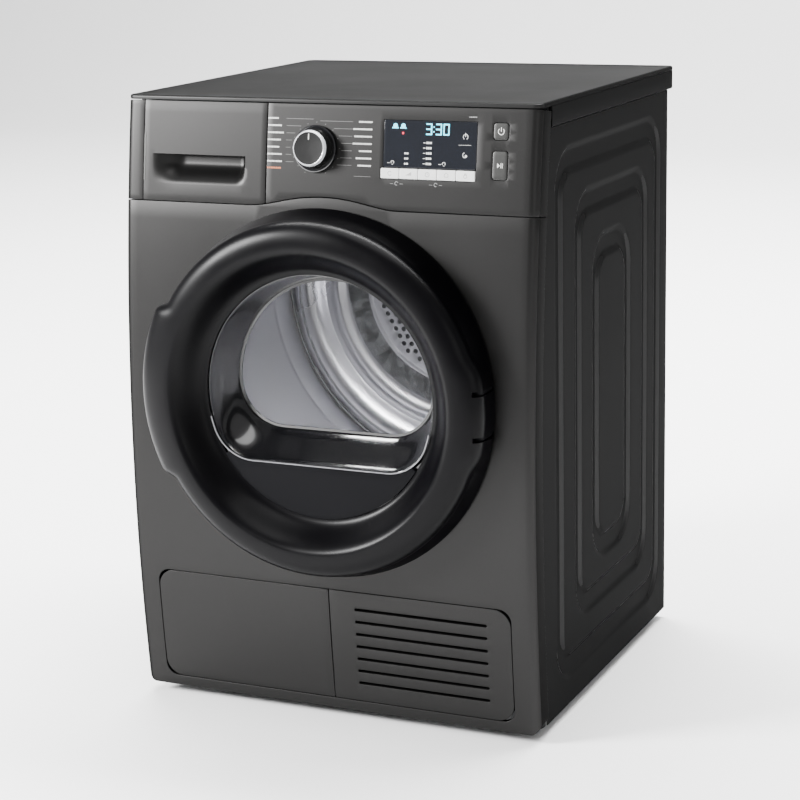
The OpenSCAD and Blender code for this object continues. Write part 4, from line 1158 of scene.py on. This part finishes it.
def make_door_inner():
    front, rear = FUNNEL_Y, WINDOW_Y
    chord0, chord1 = DOOR_Z - 94, DOOR_Z - 60
    lift, wall, steps = 6.0, 3.0, 12

    def d_ring(t, y, grow=0.0):
        loop = d_loop(mix(165, WINDOW_R, t), mix(chord0, chord1, t), mix(60, 66, t), grow, lift * t)
        return [(x, y, z) for x, z in loop]

    def wall_ring(k, grow=0.0):
        s = k / steps
        return d_ring(mix(s, smooth(s), 0.35), mix(front, rear, s), grow)

    flange_y = front + 2.4
    rings = [d_ring(0, front), d_ring(0, front + 0.3, -0.6)]
    rings += [wall_ring(k) for k in range(1, steps)]
    rings += [d_ring(1, rear + dy, grow) for dy, grow in (
        (-0.6, 0), (0, -0.6), (0, -4), (2.4, -4), (2.6, -3.6), (2.6, 2.4), (2.2, wall))]
    rings += [wall_ring(k, wall) for k in range(steps - 1, 0, -1)]
    rings.append(d_ring(0, flange_y, wall))
    bm = bmesh.new()
    loft(bm, rings)
    # Round cover behind the ring, with room for the hinge, the latch and the grip
    outer = []
    for a in range(0, 360, 3):
        r = 212.0 if abs(a - 180) < 29 else 216.0 if min(a, 360 - a) < 12 else 240.0
        outer.append((r * math.cos(math.radians(a)), DOOR_Z + r * math.sin(math.radians(a))))
    plate(bm, [outer, hole(d_loop(168, chord0 - 3, 63))], facing(flange_y, -1), 2.2, 0.6,
          np.arange(-235, 240, 24), np.arange(220, 700, 24))
    piece("door_funnel", bm, "door", "dark_plastic", funnel_black, "door_frame")

    # Light grey rod along the lower edge of the window opening: a painted highlight, standing in for light
    # caught by the funnel's front edge
    path = [p for p in d_loop(165, chord0, 60, -0.3) if p[1] < DOOR_Z - 30]
    path.sort(key=lambda p: p[0])
    bm = bmesh.new()
    tube(bm, [(x, PLATE_Y - 0.6, z) for x, z in path], 0.9)
    piece("plate_edge_highlight_rod", bm, "door", "gloss_black", edge_highlight_grey)

    def lens(x, z, d=0.0):
        k = max(0.0, 1 - (x * x + (z - DOOR_Z) ** 2) / 150 ** 2)
        return (x, rear + 3.0 - 0.8 * k + d, z)

    bm = bmesh.new()
    plate(bm, [d_loop(WINDOW_R, chord1, 66, 1.6, lift)], lens, 2.2, 0.5, np.arange(-136, 140, 12),
          np.arange(chord1 + 9, 608, 12))
    piece("window_pane", bm, "door", "window_glass", window_glass, "door_window")

    bm = bmesh.new()
    plate(bm, [crescent_loop(165.6, chord0, 60)], facing(PLATE_Y), 2.6, 0.5,
          np.arange(-130, 140, 14), np.arange(304, chord0 - 3, 10))
    piece("lower_plate", bm, "door", "gloss_black", plate_plastic, "door_lower_plate")


def tube(bm, path, r, sides=10):
    """Round rod along a path of points."""
    p = [Vector(q) for q in path]
    up = (p[1] - p[0]).orthogonal().normalized()
    rings = []
    for a, q, b in zip(p[:1] + p, p, p[1:] + p[-1:]):
        t = (b - a).normalized()
        up = (up - t * up.dot(t)).normalized()
        side = t.cross(up)
        rings.append([tuple(q + (up * math.cos(w) + side * math.sin(w)) * r)
                      for w in [2 * math.pi * k / sides for k in range(sides)]])
    loft(bm, rings, cap=True)


make_door_inner()


# ---- Drum, its back wall and the throat ----

DRUM_Y0, DRUM_Y1 = drum_low[1], drum_high[1]


def make_drum():
    r = DRUM_R - 0.6
    wall = 1.4
    stations = [(DRUM_Y0, 0)]
    for band in (DRUM_Y0 + 4, DRUM_Y0 + 64, DRUM_Y1 - 64, DRUM_Y1 - 4):
        for dy, rise in ((5.5, 0), (3.6, 0.45), (2, 0.6)):
            stations += [(band - dy, rise), (band + dy, rise)]
    stations = sorted(set([(min(max(y, DRUM_Y0), DRUM_Y1), d) for y, d in stations] + [(DRUM_Y1, 0)]))
    stations += [(y, 0) for y in np.arange(DRUM_Y0 + 76, DRUM_Y1 - 76, 16)]
    stations.sort()
    outer = [(r + d, y) for y, d in stations]
    inner = [(r + d * 1.6 - wall, y) for y, d in reversed(stations)]
    bm = bmesh.new()
    lathe(bm, outer + inner, (0, 0, DRUM_Z), n=180)
    piece("drum_shell", bm, "drum", "drum_steel", wall_steel, "drum_cylinder", sharp=40)

    bm = bmesh.new()
    inner_r = r - wall
    for i in range(3):
        a0 = math.radians(20 + i * 120)
        rings = []
        length = np.linspace(0, 1, 27)
        for s in length:
            y = mix(-150, 156, s)
            end = min(smooth(s / 0.16), smooth((1 - s) / 0.16))
            height = mix(3, 54, end ** 0.8)
            foot = mix(10, 30, end ** 0.6)
            ring = []
            for k in range(21):
                q = -1 + 2 * k / 20
                w = foot * q * (1 - 0.32 * (1 - abs(q)) ** 0.8)
                h = height * (1 - abs(q) ** 2.4) - 1.5
                rad = inner_r - h
                t = a0 + w / inner_r
                ring.append((rad * math.cos(t), y, DRUM_Z + rad * math.sin(t)))
            rings.append(ring)
        loft(bm, rings, closed=False)
    piece("drum_lifter_forms", bm, "drum", "inner_plastic", inner_plastic, "drum_lifters", sharp=60)


make_drum()


def make_drum_back():
    face = DRUM_Y1 - 2

    def pressing(r):
        """A broad rounded ring, a shallow groove and a low ridge."""
        ring = math.sin(math.pi * min(max((r - 226) / 56, 0), 1)) ** 0.75
        ridge = 0.5 - 0.5 * math.cos(2 * math.pi * min(max((r - 186) / 34, 0), 1))
        return 20 * ring + 6 * ridge

    radii = list(np.arange(145.5, 282.1, 2.2))
    front = [(r, face - pressing(r)) for r in radii]
    back = [(r, face + 1 - pressing(r)) for r in reversed(radii)]
    bm = bmesh.new()
    lathe(bm, front + back, (0, 0, DRUM_Z), n=160)
    piece("drum_back_wall", bm, "cabinet", "drum_steel", drum_steel)
    loops = [circle(0, DRUM_Z, 145.6, 120)]
    pitch = 13.0
    for j in range(-12, 13):
        for i in range(-12, 13):
            x = (i + (j % 2) / 2) * pitch
            z = j * pitch * 0.866
            if 18 < math.hypot(x, z) < 132:
                loops.append(hole(circle(x, DRUM_Z + z, 4.0, 12)))
    bm = bmesh.new()
    plate(bm, loops, facing(face - 4), 1.2, 0.4, (), ())
    piece("air_grille_plate", bm, "cabinet", "drum_steel", drum_steel, "air_grille")
    # Pressed rim between the grille and the wall
    bm = bmesh.new()
    lathe(bm, [(143, face - 4.1), (146, face - 5.2), (149, face - 4.6), (151, face - 1), (152, face + 1),
               (143, face + 1)], (0, 0, DRUM_Z), n=120)
    piece("grille_rim", bm, "cabinet", "drum_steel", drum_steel)


make_drum_back()


def make_seal():
    lips = [(188.6, -262), (188.8, -276), (187.6, -278.2), (185.4, -278.8), (183.2, -277.6),
            (182.4, -274), (183.4, -270.5), (182.4, -267), (183, -262)]
    bm = bmesh.new()
    lathe(bm, lips, (0, 0, DOOR_Z))
    piece("door_gasket", bm, "cabinet", "seal_rubber", rubber, "door_seal")


make_seal()


# ---- Inner parts that keep their CAD shape ----

def finish(material, bevel, *names):
    for name in names:
        obj = frame["nodes"][name]
        for k in range(max(1, len(obj.material_slots))):
            if obj.material_slots:
                obj.material_slots[k].link = "OBJECT"
                obj.material_slots[k].material = material
        if bevel:
            mod = obj.modifiers.new("edges", "BEVEL")
            mod.width = bevel * MM
            mod.segments = 2
            mod.limit_method = "ANGLE"
            mod.angle_limit = math.radians(40)
            mod.harden_normals = False


finish(inner_plastic, 0.5, "base_tray", "tank_guide", "condensate_pump", "heat_exchanger_cover",
       "left_turn_latch", "right_turn_latch", "lint_filter_inner")
finish(part_steel, 0.0, "rear_panel", "rear_duct_cover", "motor", "door_striker",
       "motor_shaft", "idler_arm", "rear_bulkhead")
finish(dark_plastic, 0.4, "front_bulkhead", "latch_housing", "mains_inlet", "lint_filter_outer",
       "blower_wheel", "idler_pulley", "cooling_fan")
finish(rubber, 0.0, "drive_belt", "left_roller", "right_roller", "left_front_foot", "right_front_foot",
       "rear_feet")
finish(black_paint, 0.0, "compressor", "hinge_bracket")
finish(fin_metal, 0.0, "evaporator", "condenser")
finish(copper, 0.0, "refrigerant_pipes")
finish(felt, 0.0, "drum_seals")
finish(tank_plastic, 0.5, "water_tank")
finish(white_plastic, 0.3, "latch_hook")


# ---- Camera, floor and light ----

AZIMUTH, ELEVATION, ROLL = 24.35, 13.51, -1.27
LENS = 98.9
PLACE = (1.267, -2.820, 1.136)
az, el, roll = (math.radians(v) for v in (AZIMUTH, ELEVATION, ROLL))
back = Vector((math.sin(az) * math.cos(el), -math.cos(az) * math.cos(el), math.sin(el)))
right = (-back).cross(Vector((0, 0, 1))).normalized()
up = right.cross(-back)
right, up = (right * math.cos(roll) + up * math.sin(roll), up * math.cos(roll) - right * math.sin(roll))
camera_data = bpy.data.cameras.new("camera")
camera_data.sensor_width = 36
camera_data.lens = LENS
camera = bpy.data.objects.new("camera", camera_data)
camera.matrix_world = Matrix((
    (right.x, up.x, back.x, PLACE[0]),
    (right.y, up.y, back.y, PLACE[1]),
    (right.z, up.z, back.z, PLACE[2]),
    (0, 0, 0, 1)))
bpy.context.scene.collection.objects.link(camera)
bpy.context.scene.camera = camera


def make_floor():
    bm = bmesh.new()
    half = 14.0
    rings = []
    for y, z in [(-half, 0)] + [(6 + 4 * math.sin(a), 4 - 4 * math.cos(a))
                                for a in [math.pi / 2 * k / 12 for k in range(13)]] + [(10, 12)]:
        rings.append([(-half / MM, y / MM, z / MM), (half / MM, y / MM, z / MM)])
    loft(bm, rings, closed=False)
    mesh = bpy.data.meshes.new("floor")
    bm.to_mesh(mesh)
    bm.free()
    mesh.shade_smooth()
    floor = bpy.data.objects.new("floor", mesh)
    bpy.context.scene.collection.objects.link(floor)
    s = Shader("floor_white", (0.86, 0.86, 0.86), 0.7)
    s.tint(s.noise(0.6, 2), (0.85, 0.85, 0.85), (0.87, 0.87, 0.87))
    floor.data.materials.append(s.mat)


def softbox(name, location, target, size, power, tint=(1, 1, 1)):
    data = bpy.data.lights.new(name, "AREA")
    data.shape = "RECTANGLE"
    data.size, data.size_y = size
    data.energy = power
    data.color = tint
    light = bpy.data.objects.new(name, data)
    light.location = location
    light.rotation_euler = (Vector(target) - Vector(location)).to_track_quat("-Z", "Y").to_euler()
    bpy.context.scene.collection.objects.link(light)


make_floor()
world = bpy.data.worlds.new("studio")
world.use_nodes = True
world.node_tree.nodes["Background"].inputs["Color"].default_value = (1, 1, 1, 1)
world.node_tree.nodes["Background"].inputs["Strength"].default_value = 0.55
bpy.context.scene.world = world
softbox("key", (-2.35, -2.2, 1.75), (-0.15, -0.25, 0.75), (1.0, 1.0), 460)
softbox("backdrop", (0, 1.6, 4.6), (0, 5.0, 0.6), (5.0, 2.5), 1900)
softbox("overhead", (0.3, -0.6, 4.6), (0, -0.2, 0), (3.0, 3.0), 150)
softbox("fill", (2.8, -2.4, 1.2), (0, 0, 0.4), (1.6, 1.6), 14)
softbox("drum_lamp", (-0.03, -0.16, 0.735), (0.02, 0.2, 0.42), (0.22, 0.04), 3.2)
